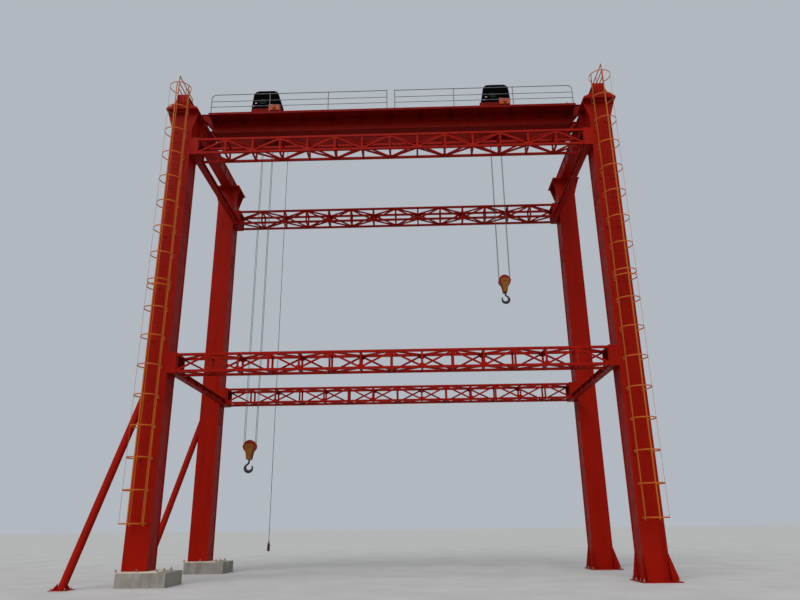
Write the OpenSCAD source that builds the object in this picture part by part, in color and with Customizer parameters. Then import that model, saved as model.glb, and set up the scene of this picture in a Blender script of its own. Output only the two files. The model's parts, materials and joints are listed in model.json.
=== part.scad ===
// Lattice portal frame with an overhead travelling bridge and two rope hoists.
// All sizes are in millimetres. +X runs to the right, +Y to the rear, +Z up.
// The origin is the middle of the footprint, on the ground.

/* [Frame] */
// Distance between the left and right leg centres
leg_span = 21200; // [19000:100:23000]
// Distance between the front and rear leg centres
leg_row_gap = 8200; // [7600:100:9000]
// Width of a leg, left to right
leg_width = 1040; // [900:10:1200]
// Depth of a leg, front to rear
leg_depth = 1040; // [900:10:1200]
// Thickness of the front and rear plates of a leg
leg_plate = 25; // [16:1:40]
// How far the side webs of a leg stand back from its plate edges
leg_web_recess = 30; // [20:1:60]
// Height of the underside of the cap plates
leg_top = 22550; // [20000:50:24000]
// Height of the lower splice plates
lower_splice_z = 7700; // [6500:50:7750]
// Height of the upper splice plates
upper_splice_z = 17250; // [15000:50:18500]
// Length of a splice plate
splice_length = 900; // [600:50:1000]
// Thickness of a splice plate
splice_plate = 18; // [10:1:20]

/* [Feet] */
// Height of the concrete plinths under the left legs
plinth_height = 560; // [300:10:800]
// Width of a plinth
plinth_width = 2050; // [1700:50:2300]
// Depth of a plinth
plinth_depth = 2000; // [1700:50:2300]
// How far a plinth reaches inwards from its leg centre
plinth_shift = 480; // [200:10:500]
// Thickness of the base plates
base_plate = 40; // [25:1:60]
// Margin of the left base plates round their legs
base_margin = 380; // [200:10:420]
// Height of the flares at the right feet
foot_flare_height = 1100; // [700:50:1400]
// Width of the outer, front and rear flares at the right feet
foot_flare = 350; // [200:10:450]
// Width of the inner flares at the right feet
foot_flare_in = 200; // [120:10:300]
// Thickness of the flare plates
flare_plate = 22; // [14:1:30]

/* [Leg heads] */
// Thickness of the cap plates
cap_plate = 50; // [30:1:70]
// How far a cap reaches past its leg, left and right
cap_side = 290; // [200:10:350]
// How far a cap reaches past its leg, front and rear
cap_front = 300; // [200:10:340]
// Height of the flares below a cap
head_flare_height = 950; // [600:50:1200]
// Height of the rim where a flare meets its cap
head_flare_rim = 60; // [30:5:100]

/* [Runways] */
// Width of a runway beam
runway_width = 620; // [500:10:700]
// Height of a runway beam
runway_height = 700; // [600:10:850]
// Thickness of the runway flanges
runway_flange = 30; // [20:1:45]
// How far the runway webs stand back from the flange edges
runway_recess = 45; // [30:1:70]
// Spacing of the runway stiffeners
stiffener_gap = 1025; // [800:5:1300]
// Thickness of the stiffeners and end plates
rib_plate = 22; // [14:1:30]
// Height of a runway rail
runway_rail_height = 100; // [80:5:120]
// Width of a runway rail foot
runway_rail_foot = 120; // [90:5:150]
// Distance from mid depth to a runway end stop
runway_stop_y = 3650; // [3620:10:3680]
// Height of the runway end stops over their rail
runway_stop_height = 260; // [200:10:320]

/* [Trusses] */
// Height of the lower truss undersides
lower_truss_z = 8900; // [8800:50:9500]
// Height of the upper truss undersides
upper_truss_z = 20100; // [19000:50:20300]
// Height of a truss
truss_height = 870; // [700:10:1000]
// Depth of a truss, front to rear
truss_depth = 1000; // [800:10:1000]
// Side of a square chord
chord = 110; // [80:5:140]
// Number of truss bays
truss_bays = 14; // [8:2:20]
// Length of the box brackets at the truss ends
bracket_length = 385; // [300:5:500]
// Plate thickness of the box brackets
bracket_plate = 20; // [12:1:30]
// Height of the bracket flanges over and under a truss
bracket_lip = 40; // [20:5:80]
// Width of a truss post
post_width = 90; // [60:5:120]
// Width of a truss diagonal
diagonal_width = 78; // [50:2:100]
// Thickness of the posts and diagonals
web_thickness = 70; // [40:5:90]

/* [Side ties] */
// Width and height of the side ties
tie_size = 290; // [200:10:340]
// Plate thickness of the side ties
tie_plate = 22; // [14:1:30]

/* [Props] */
// Height at which a prop meets its leg
prop_top = 7900; // [6500:50:8500]
// How far a prop foot stands out from its leg web
prop_out = 1850; // [1400:10:2300]
// How far a prop foot stands in front of its top
prop_forward = 1400; // [1000:10:1700]
// Distance of a prop top from the front of its leg
prop_inset = 320; // [260:10:500]
// Diameter of a prop
prop_diameter = 325; // [250:5:400]
// Side of a prop foot plate
prop_foot = 700; // [500:10:900]
// Thickness of a prop foot plate
prop_foot_plate = 30; // [20:1:50]

/* [Ladders] */
// Width of a ladder between its stile centres
ladder_width = 580; // [450:10:640]
// How far the ladders stand inwards from the leg centres
ladder_inward = 50; // [0:5:70]
// Distance of the stiles from the front of the legs
ladder_offset = 370; // [350:5:450]
// Height at which a ladder starts
ladder_bottom = 2350; // [1500:50:2800]
// Height of the landing rails over the runway beams
landing_height = 1200; // [1000:10:1300]
// Distance from the top of the landing rails down to the middle one
landing_middle = 450; // [350:10:550]
// Distance from the top of the landing rails down to the lower one
landing_lower = 800; // [650:10:900]
// How far the landing rails reach to the rear
landing_length = 2000; // [1500:50:2200]
// Distance between rungs
rung_gap = 300; // [250:10:350]
// Diameter of a rung
rung_diameter = 28; // [20:1:36]
// Width of a stile
stile_width = 30; // [16:1:40]
// Depth of a stile
stile_depth = 60; // [40:1:80]
// Distance between cage hoops
hoop_gap = 1310; // [900:10:1500]
// Number of cage hoops
hoop_count = 17; // [10:1:17]
// Radius of a cage hoop
hoop_radius = 520; // [460:10:560]
// Distance from the middle hoop down to the second hoop at the ladder joint
joint_hoop_drop = 250; // [200:10:350]
// Height of the hoop bars
hoop_bar = 50; // [30:1:70]
// Thickness of the hoop bars and straps
hoop_plate = 12; // [8:1:18]

/* [Bridge] */
// How far the bridge stands in front of mid depth
bridge_forward = 900; // [600:10:1000]
// Distance between the trolley rails
trolley_gauge = 1650; // [1500:10:1900]
// Height of a girder
girder_height = 1200; // [1100:10:1250]
// How far the girders rise over the end carriages
girder_over = 400; // [350:10:450]
// Width of a girder flange
girder_width = 500; // [420:10:560]
// How far the girder webs stand back from the flange edges
girder_recess = 40; // [25:1:60]
// Thickness of the girder flanges
girder_flange = 28; // [18:1:40]
// Radius of the rounded lower ends of a girder
girder_round = 380; // [250:10:400]
// Clearance between a girder and the runway beams
girder_clearance = 90; // [50:5:150]
// Width of an end carriage
carriage_width = 350; // [280:10:400]
// Height of an end carriage
carriage_height = 350; // [300:10:400]
// Length of an end carriage
carriage_length = 3000; // [2600:50:3200]
// Clearance between an end carriage and its rail
carriage_clearance = 50; // [30:5:80]
// Diameter of a carriage wheel
carriage_wheel = 340; // [280:10:360]
// Width of a carriage wheel
carriage_wheel_width = 110; // [80:5:140]
// Distance from a carriage end to its wheel centre
carriage_wheel_inset = 350; // [280:10:500]
// Running clearance of wheels over their rails
wheel_gap = 0.3; // [0.3:0.1:2]

/* [Walkways] */
// Width of a walkway
walkway_width = 645; // [500:5:800]
// Distance of a walkway end from the lower end of its girder
walkway_setback = 170; // [120:10:250]
// How far the walkway decks lie under the girder tops
walkway_drop = 400; // [350:10:450]
// Thickness of a walkway deck
walkway_deck = 40; // [25:1:60]
// Height of the edge boards over the deck
edge_board_up = 60; // [40:5:150]
// Depth of the edge boards under the deck
edge_board_down = 30; // [20:5:150]
// Thickness of the edge boards
edge_board = 14; // [8:1:20]
// Number of walkway brackets
walkway_brackets = 13; // [7:2:19]
// Depth of a walkway bracket at its girder
walkway_bracket_depth = 360; // [200:10:450]

/* [Handrails] */
// Height of the top rail over the deck
handrail_height = 1230; // [1000:10:1300]
// Height of the middle rail over the deck
handrail_middle = 800; // [650:10:850]
// Height of the lower rail over the deck
handrail_lower = 450; // [350:10:550]
// Distance of a handrail end from its walkway end
handrail_setback = 110; // [80:5:150]
// Gap between the two handrail sections
handrail_break = 430; // [200:10:500]
// Radius of the handrail end bends
handrail_bend = 260; // [150:10:300]
// Diameter of the handrail tubes
handrail_tube = 42; // [30:1:60]

/* [Trolleys] */
// Distance of the left hoist from the left leg centres
left_hoist_inset = 3550; // [3400:50:4100]
// Distance of the right hoist from the right leg centres
right_hoist_inset = 4800; // [4600:50:5000]
// Height of a trolley rail
trolley_rail_height = 80; // [60:5:100]
// Width of a trolley rail
trolley_rail_width = 60; // [40:5:80]
// Distance of a trolley rail end from the lower end of its girder
rail_setback = 450; // [400:10:500]
// Height of the stops at the ends of the trolley rails
rail_stop_height = 300; // [200:10:340]
// Width of the stops at the ends of the trolley rails
rail_stop_width = 200; // [120:10:220]
// Length of a trolley along its rails
trolley_length = 1700; // [1500:10:1750]
// Width of the trolley beams
trolley_beam = 140; // [100:5:180]
// Height of the trolley beams
trolley_beam_height = 280; // [240:10:320]
// Clearance between the trolley beams and their rails
trolley_clearance = 60; // [40:5:80]
// Diameter of a trolley wheel
trolley_wheel = 300; // [240:10:320]
// Width of a trolley wheel
trolley_wheel_width = 80; // [60:5:90]
// Distance from a trolley end to its wheel centre
trolley_wheel_inset = 260; // [220:10:320]
// Distance between the trolley cross beams, centre to centre
cross_beam_gap = 1000; // [900:10:1100]

/* [Hoists] */
// Diameter of the rope drum
drum_diameter = 540; // [400:10:560]
// Length of the rope drum
drum_length = 1140; // [900:10:1140]
// Width of the drum end flanges past the drum surface
drum_flange = 60; // [30:5:80]
// Height of the drum centre over the trolley beams
drum_height = 220; // [160:10:260]
// Diameter of the drum shaft
drum_shaft = 120; // [80:5:160]
// Thickness of the drum bearing plates
bearing_plate = 40; // [25:1:60]
// Width of a hoist cover
cover_width = 1600; // [1400:10:1640]
// Height of a hoist cover
cover_height = 1300; // [1200:10:1400]
// Clearance between the drum bearings and the cover walls
cover_gap = 40; // [30:5:70]
// Wall of a hoist cover
cover_wall = 20; // [12:1:30]
// Radius of the upper corners of a hoist cover
cover_round = 320; // [250:10:450]
// Radius of the lower corners of a hoist cover
cover_foot_round = 230; // [120:5:250]
// How much a cover narrows towards its top, on each side
cover_taper = 80; // [0:5:120]
// How far a cover stands out from its hoist centre, away from mid span
cover_shift = 100; // [0:10:110]
// Width of the oval grille in a hoist cover
grille_width = 460; // [350:10:600]
// Height of the oval grille
grille_height = 300; // [220:10:400]
// Distance of the grille from the cover centre, to the left
grille_shift = 180; // [0:10:220]
// Number of grille slats
grille_slats = 4; // [3:1:6]
// Width of a drive box
drive_box_width = 600; // [450:10:650]
// Depth of a drive box
drive_box_depth = 300; // [250:10:340]
// Height of a drive box
drive_box_height = 340; // [300:10:380]
// Distance of a drive box from the end of its trolley
drive_box_inset = 50; // [30:5:100]
// Depth of the pad between a drive box and its trolley
drive_box_pad = 20; // [18:1:30]

/* [Ropes] */
// Diameter of a hoist rope
rope_diameter = 22; // [16:1:26]
// Distance of a rope from the block centre, front to rear
rope_row = 120; // [100:5:140]
// Gap between a rope and the drum or sheave beside it
rope_gap = 0.3; // [0.3:0.1:1]

/* [Hook blocks] */
// Height of the left block centre over the ground
left_block_z = 6000; // [5000:50:12000]
// Height of the right block centre over the ground
right_block_z = 14300; // [8000:50:18000]
// Thickness of a sheave
sheave_width = 60; // [44:2:70]
// Depth of the sheave grooves
sheave_groove = 20; // [14:1:26]
// Diameter of a sheave hub
sheave_hub = 190; // [160:5:240]
// Thickness of a sheave between its hub and rim
sheave_web = 22; // [14:1:30]
// Diameter of a sheave pin
sheave_pin = 110; // [80:5:140]
// Radial gap between the sheaves and their guard
guard_gap = 14; // [8:1:24]
// Thickness of the guard plates
guard_plate = 12; // [8:1:16]
// Height of the guard sides over the sheave pin
guard_rise = 60; // [40:5:100]
// Thickness of the cheek plates
cheek_plate = 26; // [16:1:34]
// Width of a cheek plate at its top
cheek_top_width = 300; // [240:10:380]
// Width of a cheek plate at the sheave pin
cheek_width = 430; // [360:10:480]
// Width of a cheek plate at its foot
cheek_foot_width = 210; // [190:10:280]
// Height of the cheek tops over the sheave pin
cheek_rise = 100; // [80:5:150]
// Distance from the sheave pin down to the crosshead centre
crosshead_drop = 590; // [540:10:640]
// Height of the crosshead
crosshead_height = 110; // [80:5:140]
// Width of the crosshead
crosshead_width = 190; // [170:5:200]

/* [Hooks] */
// Diameter of a hook shank
shank_diameter = 84; // [60:2:100]
// Clearance of the shank in the crosshead
shank_gap = 1; // [0.5:0.1:2]
// Diameter of the hook nut
nut_diameter = 150; // [120:5:165]
// Height of the hook nut
nut_height = 80; // [60:5:100]
// Distance from the crosshead underside down to the bowl centre
bowl_drop = 380; // [360:10:480]
// Radius of the middle line of the bowl
bowl_radius = 175; // [150:5:200]
// Thickest radius of the bowl
bowl_thickness = 78; // [60:2:90]
// Radius at the hook tip
tip_thickness = 24; // [16:1:30]

/* [Pendant] */
// Distance of the pendant cable from the left hoist, to the right
pendant_x = 1150; // [1050:10:1200]
// Height of the pendant underside over the ground
pendant_z = 1200; // [900:10:1500]
// Diameter of the pendant cable
pendant_cable_diameter = 24; // [16:1:30]
// Width of the pendant
pendant_width = 110; // [80:5:140]
// Depth of the pendant
pendant_depth = 80; // [60:5:100]
// Height of the pendant
pendant_height = 360; // [260:10:420]

/* [Hidden] */
leg_x = leg_span / 2;
leg_y = leg_row_gap / 2;
leg_a = leg_width / 2;
leg_b = leg_depth / 2;
web_a = leg_a - leg_web_recess;
left_leg_bottom = plinth_height + base_plate;
prop_web_x = -leg_x - web_a;
prop_foot_x = prop_web_x - prop_out;
front_x_min = prop_foot_x - prop_foot / 2;
right_x_max = leg_x + leg_a + foot_flare;
prop_front_y = -leg_y - leg_b + prop_inset - prop_forward;
front_y_min = prop_front_y - prop_foot / 2;
rear_y_max = leg_y + plinth_depth / 2;
shift_x = -(front_x_min + right_x_max) / 2;
shift_y = -(front_y_min + rear_y_max) / 2;

cap_top = leg_top + cap_plate;
cap_a = leg_a + cap_side;
cap_b = leg_b + cap_front;
runway_top = cap_top + runway_height;
runway_a = runway_width / 2;
runway_half = leg_y + cap_b - rib_plate;
rail_top = runway_top + runway_rail_height;
end_plate_height = runway_height + 90;
flare_arc_z = 0.76 * end_plate_height;
flare_reach = cap_a - runway_a - 40;
flare_arc_radius = (pow(flare_reach, 2) + pow(flare_arc_z - head_flare_rim, 2)) / (2 * flare_reach);

hoop_sides = 17;

// How far a piece runs into another one of the same solid, so that the two fuse.
join = 1;

truss_half = leg_x - leg_a;
lattice_half = truss_half - bracket_length;
truss_bay = 2 * lattice_half / truss_bays;
tie_x = truss_half - bracket_length / 2;
tie_half = leg_y - leg_b;

carriage_bottom = rail_top + carriage_clearance;
girder_top = carriage_bottom + carriage_height + girder_over;
girder_half = leg_x - runway_a - girder_clearance;
girder_foot = girder_half - 150;
girder_nose = leg_x - carriage_width / 2 - 25;
girder_end = leg_x + 100;
deck_z = girder_top - walkway_drop;
walkway_half = girder_half - walkway_setback;
handrail_bay = (walkway_half - handrail_setback - handrail_break / 2) / 3;
trolley_rail_half = girder_half - rail_setback;
left_hoist_x = leg_x - left_hoist_inset;
right_hoist_x = leg_x - right_hoist_inset;
gauge_half = trolley_gauge / 2;
flange_half = girder_width / 2;
web_half = flange_half - girder_recess;

trolley_rail_top = girder_top + trolley_rail_height;
beam_bottom = trolley_rail_top + trolley_clearance;
beam_top = beam_bottom + trolley_beam_height;
trolley_half = trolley_length / 2;
drum_z = beam_top + drum_height;
drum_radius = drum_diameter / 2;
bearing_y = drum_length / 2 + 30;
cover_depth = 2 * (bearing_y + bearing_plate + cover_gap + cover_wall);
rope_radius = rope_diameter / 2;
rope_x = drum_radius + rope_gap + rope_radius;
sheave_root = rope_x - rope_radius - rope_gap;
sheave_radius = sheave_root + sheave_groove;
guard_radius = sheave_radius + guard_gap + guard_plate;
guard_half = rope_row + sheave_width / 2 + guard_gap / 2;
cheek_in = guard_half + guard_plate;
cheek_out = cheek_in + cheek_plate;
grille_z = beam_top + 0.48 * cover_height;
pendant_top = beam_top - trolley_beam_height / 2;

// Moves the model so that the origin is the middle of its footprint.
module placed() {
    translate([shift_x, shift_y, 0])
        children();
}

// A box given by its middle in X and Y, its underside and its size.
module block_at(x, y, z, size) {
    translate([x - size[0] / 2, y - size[1] / 2, z])
        cube(size);
}

// A plate drawn in X and Z, with its middle plane at the given Y.
module xz_plate(y, thickness) {
    translate([0, y + thickness / 2, 0])
        rotate([90, 0, 0])
            linear_extrude(thickness)
                children();
}

// A plate drawn in Y and Z, with its middle plane at the given X.
module yz_plate(x, thickness) {
    translate([x - thickness / 2, 0, 0])
        rotate([90, 0, 90])
            linear_extrude(thickness)
                children();
}

// The plan of a leg: two wide plates with the webs standing back between them.
module leg_plan() {
    polygon([
        [-leg_a, -leg_b], [leg_a, -leg_b], [leg_a, -leg_b + leg_plate], [web_a, -leg_b + leg_plate],
        [web_a, leg_b - leg_plate], [leg_a, leg_b - leg_plate], [leg_a, leg_b], [-leg_a, leg_b],
        [-leg_a, leg_b - leg_plate], [-web_a, leg_b - leg_plate], [-web_a, -leg_b + leg_plate],
        [-leg_a, -leg_b + leg_plate]
    ]);
}

// side is -1 for left and 1 for right, row is -1 for front and 1 for rear.
module leg(side, row, bottom) {
    color([0.72, 0.07, 0.03])
        placed()
            translate([side * leg_x, row * leg_y, 0]) {
                translate([0, 0, bottom])
                    linear_extrude(leg_top - bottom)
                        leg_plan();
                for (z = [lower_splice_z, upper_splice_z])
                    block_at(-side * (web_a + (splice_plate - join) / 2), 0, z,
                        [splice_plate + join, leg_depth - 4 * leg_plate, splice_length]);
            }
}

module front_left_leg() {
    leg(-1, -1, left_leg_bottom);
}

module front_right_leg() {
    leg(1, -1, base_plate);
}

module rear_left_leg() {
    leg(-1, 1, left_leg_bottom);
}

module rear_right_leg() {
    leg(1, 1, base_plate);
}

// A flare under a cap: it runs from the leg out to the edge of the cap.
module head_flare() {
    polygon([
        [leg_a, leg_top - head_flare_height], [cap_a - 20, leg_top - head_flare_rim],
        [cap_a - 20, leg_top], [leg_a, leg_top]
    ]);
}

// The plate over a cap: narrow at the top, sweeping out to the edges of the cap.
module head_sweep() {
    translate([0, cap_top])
        difference() {
            translate([-cap_a + 40, 0])
                square([2 * cap_a - 80, end_plate_height]);
            for (side = [-1, 1]) {
                translate([side * (runway_a + flare_arc_radius), flare_arc_z])
                    circle(flare_arc_radius);
                translate([side > 0 ? runway_a : -cap_a, flare_arc_z])
                    square([cap_a - runway_a, end_plate_height]);
            }
        }
}

module head(side, row) {
    translate([side * leg_x, row * leg_y, 0]) {
        block_at(0, 0, leg_top, [2 * cap_a, 2 * cap_b, cap_plate]);
        for (y = [-1, 1])
            for (x = [0, 1])
                mirror([x, 0, 0])
                    xz_plate(y * (leg_b - leg_plate / 2), leg_plate)
                        head_flare();
        xz_plate(row * (cap_b - rib_plate / 2), rib_plate)
            head_sweep();
        for (y = [-1, 1])
            xz_plate(y * (leg_b - leg_plate / 2), rib_plate)
                difference() {
                    head_sweep();
                    translate([-runway_a, cap_top])
                        square([runway_width, end_plate_height]);
                }
    }
}

module leg_heads() {
    color([0.74, 0.08, 0.03])
        placed()
            for (side = [-1, 1])
                for (row = [-1, 1])
                    head(side, row);
}

// A flare at a foot, drawn outwards from the given half width.
module foot_wing(half, flare) {
    polygon([
        [half, base_plate], [half + flare - 20, base_plate],
        [half + flare - 20, base_plate + 60], [half, foot_flare_height]
    ]);
}

module foot(row) {
    translate([leg_x, row * leg_y, 0]) {
        block_at((foot_flare - foot_flare_in) / 2, 0, 0,
            [leg_width + foot_flare + foot_flare_in, leg_depth + 2 * foot_flare, base_plate]);
        for (y = [-1, 1])
            for (x = [0, 1])
                mirror([x, 0, 0])
                    xz_plate(y * (leg_b - leg_plate / 2), leg_plate)
                        foot_wing(leg_a, x > 0 ? foot_flare_in : foot_flare);
        for (x = [-1, 1])
            for (y = [0, 1])
                mirror([0, y, 0])
                    yz_plate(x * (web_a - flare_plate / 2), flare_plate)
                        foot_wing(leg_b, foot_flare);
    }
}

module leg_feet() {
    color([0.66, 0.06, 0.03])
        placed()
            for (row = [-1, 1])
                foot(row);
}

module base_plates() {
    color([0.72, 0.66, 0.55])
        placed()
            for (row = [-1, 1])
                block_at(-leg_x + plinth_shift / 2, row * leg_y, plinth_height,
                    [leg_width + 2 * base_margin, leg_depth + 2 * base_margin, base_plate]);
}

module plinths() {
    color([0.55, 0.53, 0.5])
        placed()
            for (row = [-1, 1])
                block_at(-leg_x + plinth_shift, row * leg_y, 0,
                    [plinth_width, plinth_depth, plinth_height]);
}

// The cross section of a runway beam, standing on its caps.
module runway_section() {
    difference() {
        translate([-runway_a, cap_top])
            square([runway_width, runway_height]);
        for (x = [-runway_a, runway_a - runway_recess])
            translate([x, cap_top + runway_flange])
                square([runway_recess, runway_height - 2 * runway_flange]);
    }
}

module runway_beam(side) {
    color([0.7, 0.07, 0.03])
        placed()
            translate([side * leg_x, 0, 0]) {
                xz_plate(0, 2 * runway_half)
                    runway_section();
                for (x = [-1, 1])
                    for (k = [-3 : 3])
                        block_at(x * (runway_a - runway_recess / 2 - 1), k * stiffener_gap,
                            cap_top + runway_flange,
                            [runway_recess + 2 - 8, rib_plate, runway_height - 2 * runway_flange]);
            }
}

module left_runway_beam() {
    runway_beam(-1);
}

module right_runway_beam() {
    runway_beam(1);
}

// A rail: foot, neck and head, drawn about its middle line from the given height.
module rail_section(foot_width, height) {
    polygon([
        [-foot_width / 2, 0], [foot_width / 2, 0], [foot_width / 2, 0.14 * height],
        [0.16 * foot_width, 0.26 * height], [0.16 * foot_width, 0.6 * height],
        [0.3 * foot_width, 0.7 * height], [0.3 * foot_width, height], [-0.3 * foot_width, height],
        [-0.3 * foot_width, 0.7 * height], [-0.16 * foot_width, 0.6 * height],
        [-0.16 * foot_width, 0.26 * height], [-foot_width / 2, 0.14 * height]
    ]);
}

module runway_rails() {
    color([0.42, 0.38, 0.35])
        placed()
            for (side = [-1, 1])
                translate([side * leg_x, 0, 0]) {
                    translate([0, 0, runway_top])
                        xz_plate(0, 2 * (runway_stop_y + join))
                            rail_section(runway_rail_foot, runway_rail_height);
                    for (row = [0, 1])
                        mirror([0, row, 0])
                            yz_plate(0, 1.6 * runway_rail_foot)
                                polygon([
                                    [runway_stop_y, runway_top], [runway_stop_y + 190, runway_top],
                                    [runway_stop_y + 190, runway_top + 60],
                                    [runway_stop_y + 60, rail_top + runway_stop_height],
                                    [runway_stop_y, rail_top + runway_stop_height]
                                ]);
                }
}

// The two openings that a diagonal leaves in one bay of a lattice.
module bay_openings(width, height, band) {
    lean = (band / 2) * sqrt(width * width + height * height) / width;
    run = lean * width / height;
    polygon([[0, lean], [width - run, height], [0, height]]);
    polygon([[run, 0], [width, 0], [width, height - lean]]);
}

// A flat lattice panel about the origin; start sets how its diagonals alternate.
module lattice(height, rim, post, band, start) {
    difference() {
        square([2 * lattice_half, height], center = true);
        for (k = [0 : truss_bays - 1])
            translate([-lattice_half + (k + 0.5) * truss_bay, 0])
                mirror([(k + start) % 2, 0])
                    translate([-(truss_bay - post) / 2, -height / 2 + rim])
                        bay_openings(truss_bay - post, height - 2 * rim, band);
    }
}

// The open box that joins a truss to the inner face of a leg.
module truss_bracket(bottom) {
    reach = bracket_length - bracket_plate;
    difference() {
        translate([lattice_half, -leg_b, bottom - bracket_lip])
            cube([bracket_length, leg_depth, truss_height + 2 * bracket_lip]);
        translate([lattice_half - 10, -truss_depth / 2, bottom])
            cube([reach + 10, truss_depth, truss_height]);
    }
    block_at(truss_half + (leg_web_recess - join) / 2, 0, bottom,
        [leg_web_recess + join, leg_depth - 2 * leg_plate - 10, truss_height]);
}

module truss(row, bottom, shade) {
    inner = truss_depth / 2 - chord;
    chord_half = truss_half - bracket_plate;
    color([0.76, 0.07 + shade, 0.03])
        placed()
            translate([0, row * leg_y, 0]) {
                for (y = [-1, 1]) {
                    translate([0, 0, bottom + truss_height / 2])
                        xz_plate(y * (truss_depth - chord) / 2, web_thickness)
                            lattice(truss_height, chord, post_width, diagonal_width, y > 0 ? 1 : 0);
                    for (z = [0, truss_height - chord])
                        block_at(0, y * (truss_depth - chord) / 2, bottom + z,
                            [2 * chord_half, chord, chord]);
                }
                for (z = [chord / 2, truss_height - chord / 2])
                    translate([0, 0, bottom + z - web_thickness / 2])
                        linear_extrude(web_thickness)
                            lattice(2 * inner + 40, 20, post_width, diagonal_width, z > chord ? 1 : 0);
                for (x = [0, 1])
                    mirror([x, 0, 0])
                        truss_bracket(bottom);
            }
}

module upper_front_truss() {
    truss(-1, upper_truss_z, 0.01);
}

module upper_rear_truss() {
    truss(1, upper_truss_z, 0);
}

module lower_front_truss() {
    truss(-1, lower_truss_z, 0.01);
}

module lower_rear_truss() {
    truss(1, lower_truss_z, 0);
}

// An upright H beam drawn in X and Z.
module tie_section(bottom) {
    difference() {
        translate([-tie_size / 2, bottom])
            square([tie_size, tie_size]);
        for (x = [-tie_size / 2, tie_plate / 2])
            translate([x, bottom + tie_plate])
                square([(tie_size - tie_plate) / 2, tie_size - 2 * tie_plate]);
    }
}

module side_ties(truss_bottom) {
    color([0.68, 0.06, 0.04])
        placed()
            for (side = [-1, 1])
                translate([side * tie_x, 0, 0])
                    xz_plate(0, 2 * tie_half)
                        tie_section(truss_bottom - bracket_lip);
}

module upper_side_ties() {
    side_ties(upper_truss_z);
}

module lower_side_ties() {
    side_ties(lower_truss_z);
}

// A prop leans in from its foot plate and is cut to the face of the leg web.
module prop(row) {
    top_y = row * leg_y - leg_b + prop_inset;
    run = sqrt(prop_out * prop_out + prop_forward * prop_forward);
    rise = prop_top - prop_foot_plate;
    intersection() {
        translate([prop_foot_x, top_y - prop_forward, prop_foot_plate])
            rotate([0, atan2(run, rise), atan2(prop_forward, prop_out)])
                rotate([0, 0, 40])
                    translate([0, 0, -prop_diameter])
                        cylinder(h = prop_top + 5 * prop_diameter, d = prop_diameter, $fn = 48);
        translate([prop_web_x - prop_out - prop_foot, top_y - prop_forward - prop_foot, prop_foot_plate])
            cube([prop_out + prop_foot, prop_forward + 2 * prop_foot, prop_top + 6 * prop_diameter]);
    }
    block_at(prop_foot_x, top_y - prop_forward, 0, [prop_foot, prop_foot, prop_foot_plate]);
}

module left_props() {
    color([0.7, 0.06, 0.03])
        placed()
            for (row = [-1, 1])
                prop(row);
}

// Points along the part of a circle that a hoop follows, from one stile to the other.
function hoop_arc(radius, reach) =
    let (step = (360 - 2 * reach) / hoop_sides)
    [for (k = [0 : hoop_sides]) [radius * cos(90 + reach + k * step), radius * sin(90 + reach + k * step)]];

// The plan of a cage hoop, open between the stiles.
module hoop_plan(reach) {
    inside = hoop_arc(hoop_radius - hoop_plate / 2, reach);
    polygon(concat(
        hoop_arc(hoop_radius + hoop_plate / 2, reach),
        [for (k = [hoop_sides : -1 : 0]) inside[k]]
    ));
}

// A caged ladder on the front of a leg; its outer stile rises to the landing rails.
module ladder(side) {
    stile_x = ladder_width / 2;
    stile_y = -leg_y - leg_b - ladder_offset;
    rail_z = runway_top + landing_height;
    hoop_y = stile_y - sqrt(hoop_radius * hoop_radius - stile_x * stile_x);
    rungs = floor((runway_top - ladder_bottom) / rung_gap);
    reach = atan2(stile_x, sqrt(hoop_radius * hoop_radius - stile_x * stile_x));
    side_angle = (360 - 2 * reach) / hoop_sides;
    strap_radius = (hoop_radius - hoop_plate / 2) * cos(side_angle / 2);
    hoop_start = ladder_bottom + 80;
    cage_top = hoop_start + (hoop_count - 1) * hoop_gap + hoop_bar;
    color([0.85, 0.45, 0.05])
        placed()
            translate([side * (leg_x - ladder_inward), 0, 0]) {
                for (x = [-stile_x, stile_x]) {
                    block_at(x, stile_y, ladder_bottom,
                        [stile_width, stile_depth, (side * x > 0 ? rail_z : cage_top + 150) - ladder_bottom]);
                    for (k = [0 : 2 : hoop_count - 1])
                        block_at(x, stile_y + ladder_offset / 2, hoop_start + k * hoop_gap * (k > 14 ? 0.9 : 1),
                            [hoop_plate, ladder_offset, hoop_bar]);
                }
                for (drop = [hoop_bar, landing_middle, landing_lower])
                    block_at(side * stile_x, stile_y + landing_length / 2, rail_z - drop,
                        [stile_width, landing_length, hoop_bar]);
                for (y = [landing_length / 2, landing_length])
                    block_at(side * stile_x, stile_y + y, runway_top,
                        [stile_width, stile_width, landing_height]);
                for (k = [1 : rungs])
                    translate([-stile_x + stile_width / 2 - join, stile_y, ladder_bottom + (k - 0.5) * rung_gap])
                        rotate([0, 90, 0])
                            cylinder(h = ladder_width - stile_width + 2 * join, d = rung_diameter, $fn = 6);
                translate([0, hoop_y, 0]) {
                    for (z = concat([for (k = [0 : hoop_count - 1]) k * hoop_gap],
                        [8 * hoop_gap - joint_hoop_drop]))
                        translate([0, 0, hoop_start + z])
                            linear_extrude(hoop_bar)
                                hoop_plan(reach);
                    for (turn = [-4 * side_angle, 0, 4 * side_angle])
                        rotate([0, 0, turn])
                            translate([-hoop_bar / 2, -strap_radius - hoop_plate / 3, hoop_start + hoop_bar / 10])
                                cube([hoop_bar, hoop_plate, cage_top - hoop_start - hoop_bar / 5]);
                }
            }
}

module left_ladder() {
    ladder(-1);
}

module right_ladder() {
    ladder(1);
}

// The right end of a girder's side view: an arm over the carriage, a slope and a rounded corner.
function girder_end_line(inset) = concat(
    [[girder_end - inset, -inset], [girder_end - inset, -girder_over + inset],
        [girder_nose - 0.47 * inset, -girder_over + inset]],
    [for (a = [0 : -10 : -90]) [girder_foot - girder_round + (girder_round - inset) * cos(a),
        -girder_height + girder_round + (girder_round - inset) * sin(a)]]
);

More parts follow.
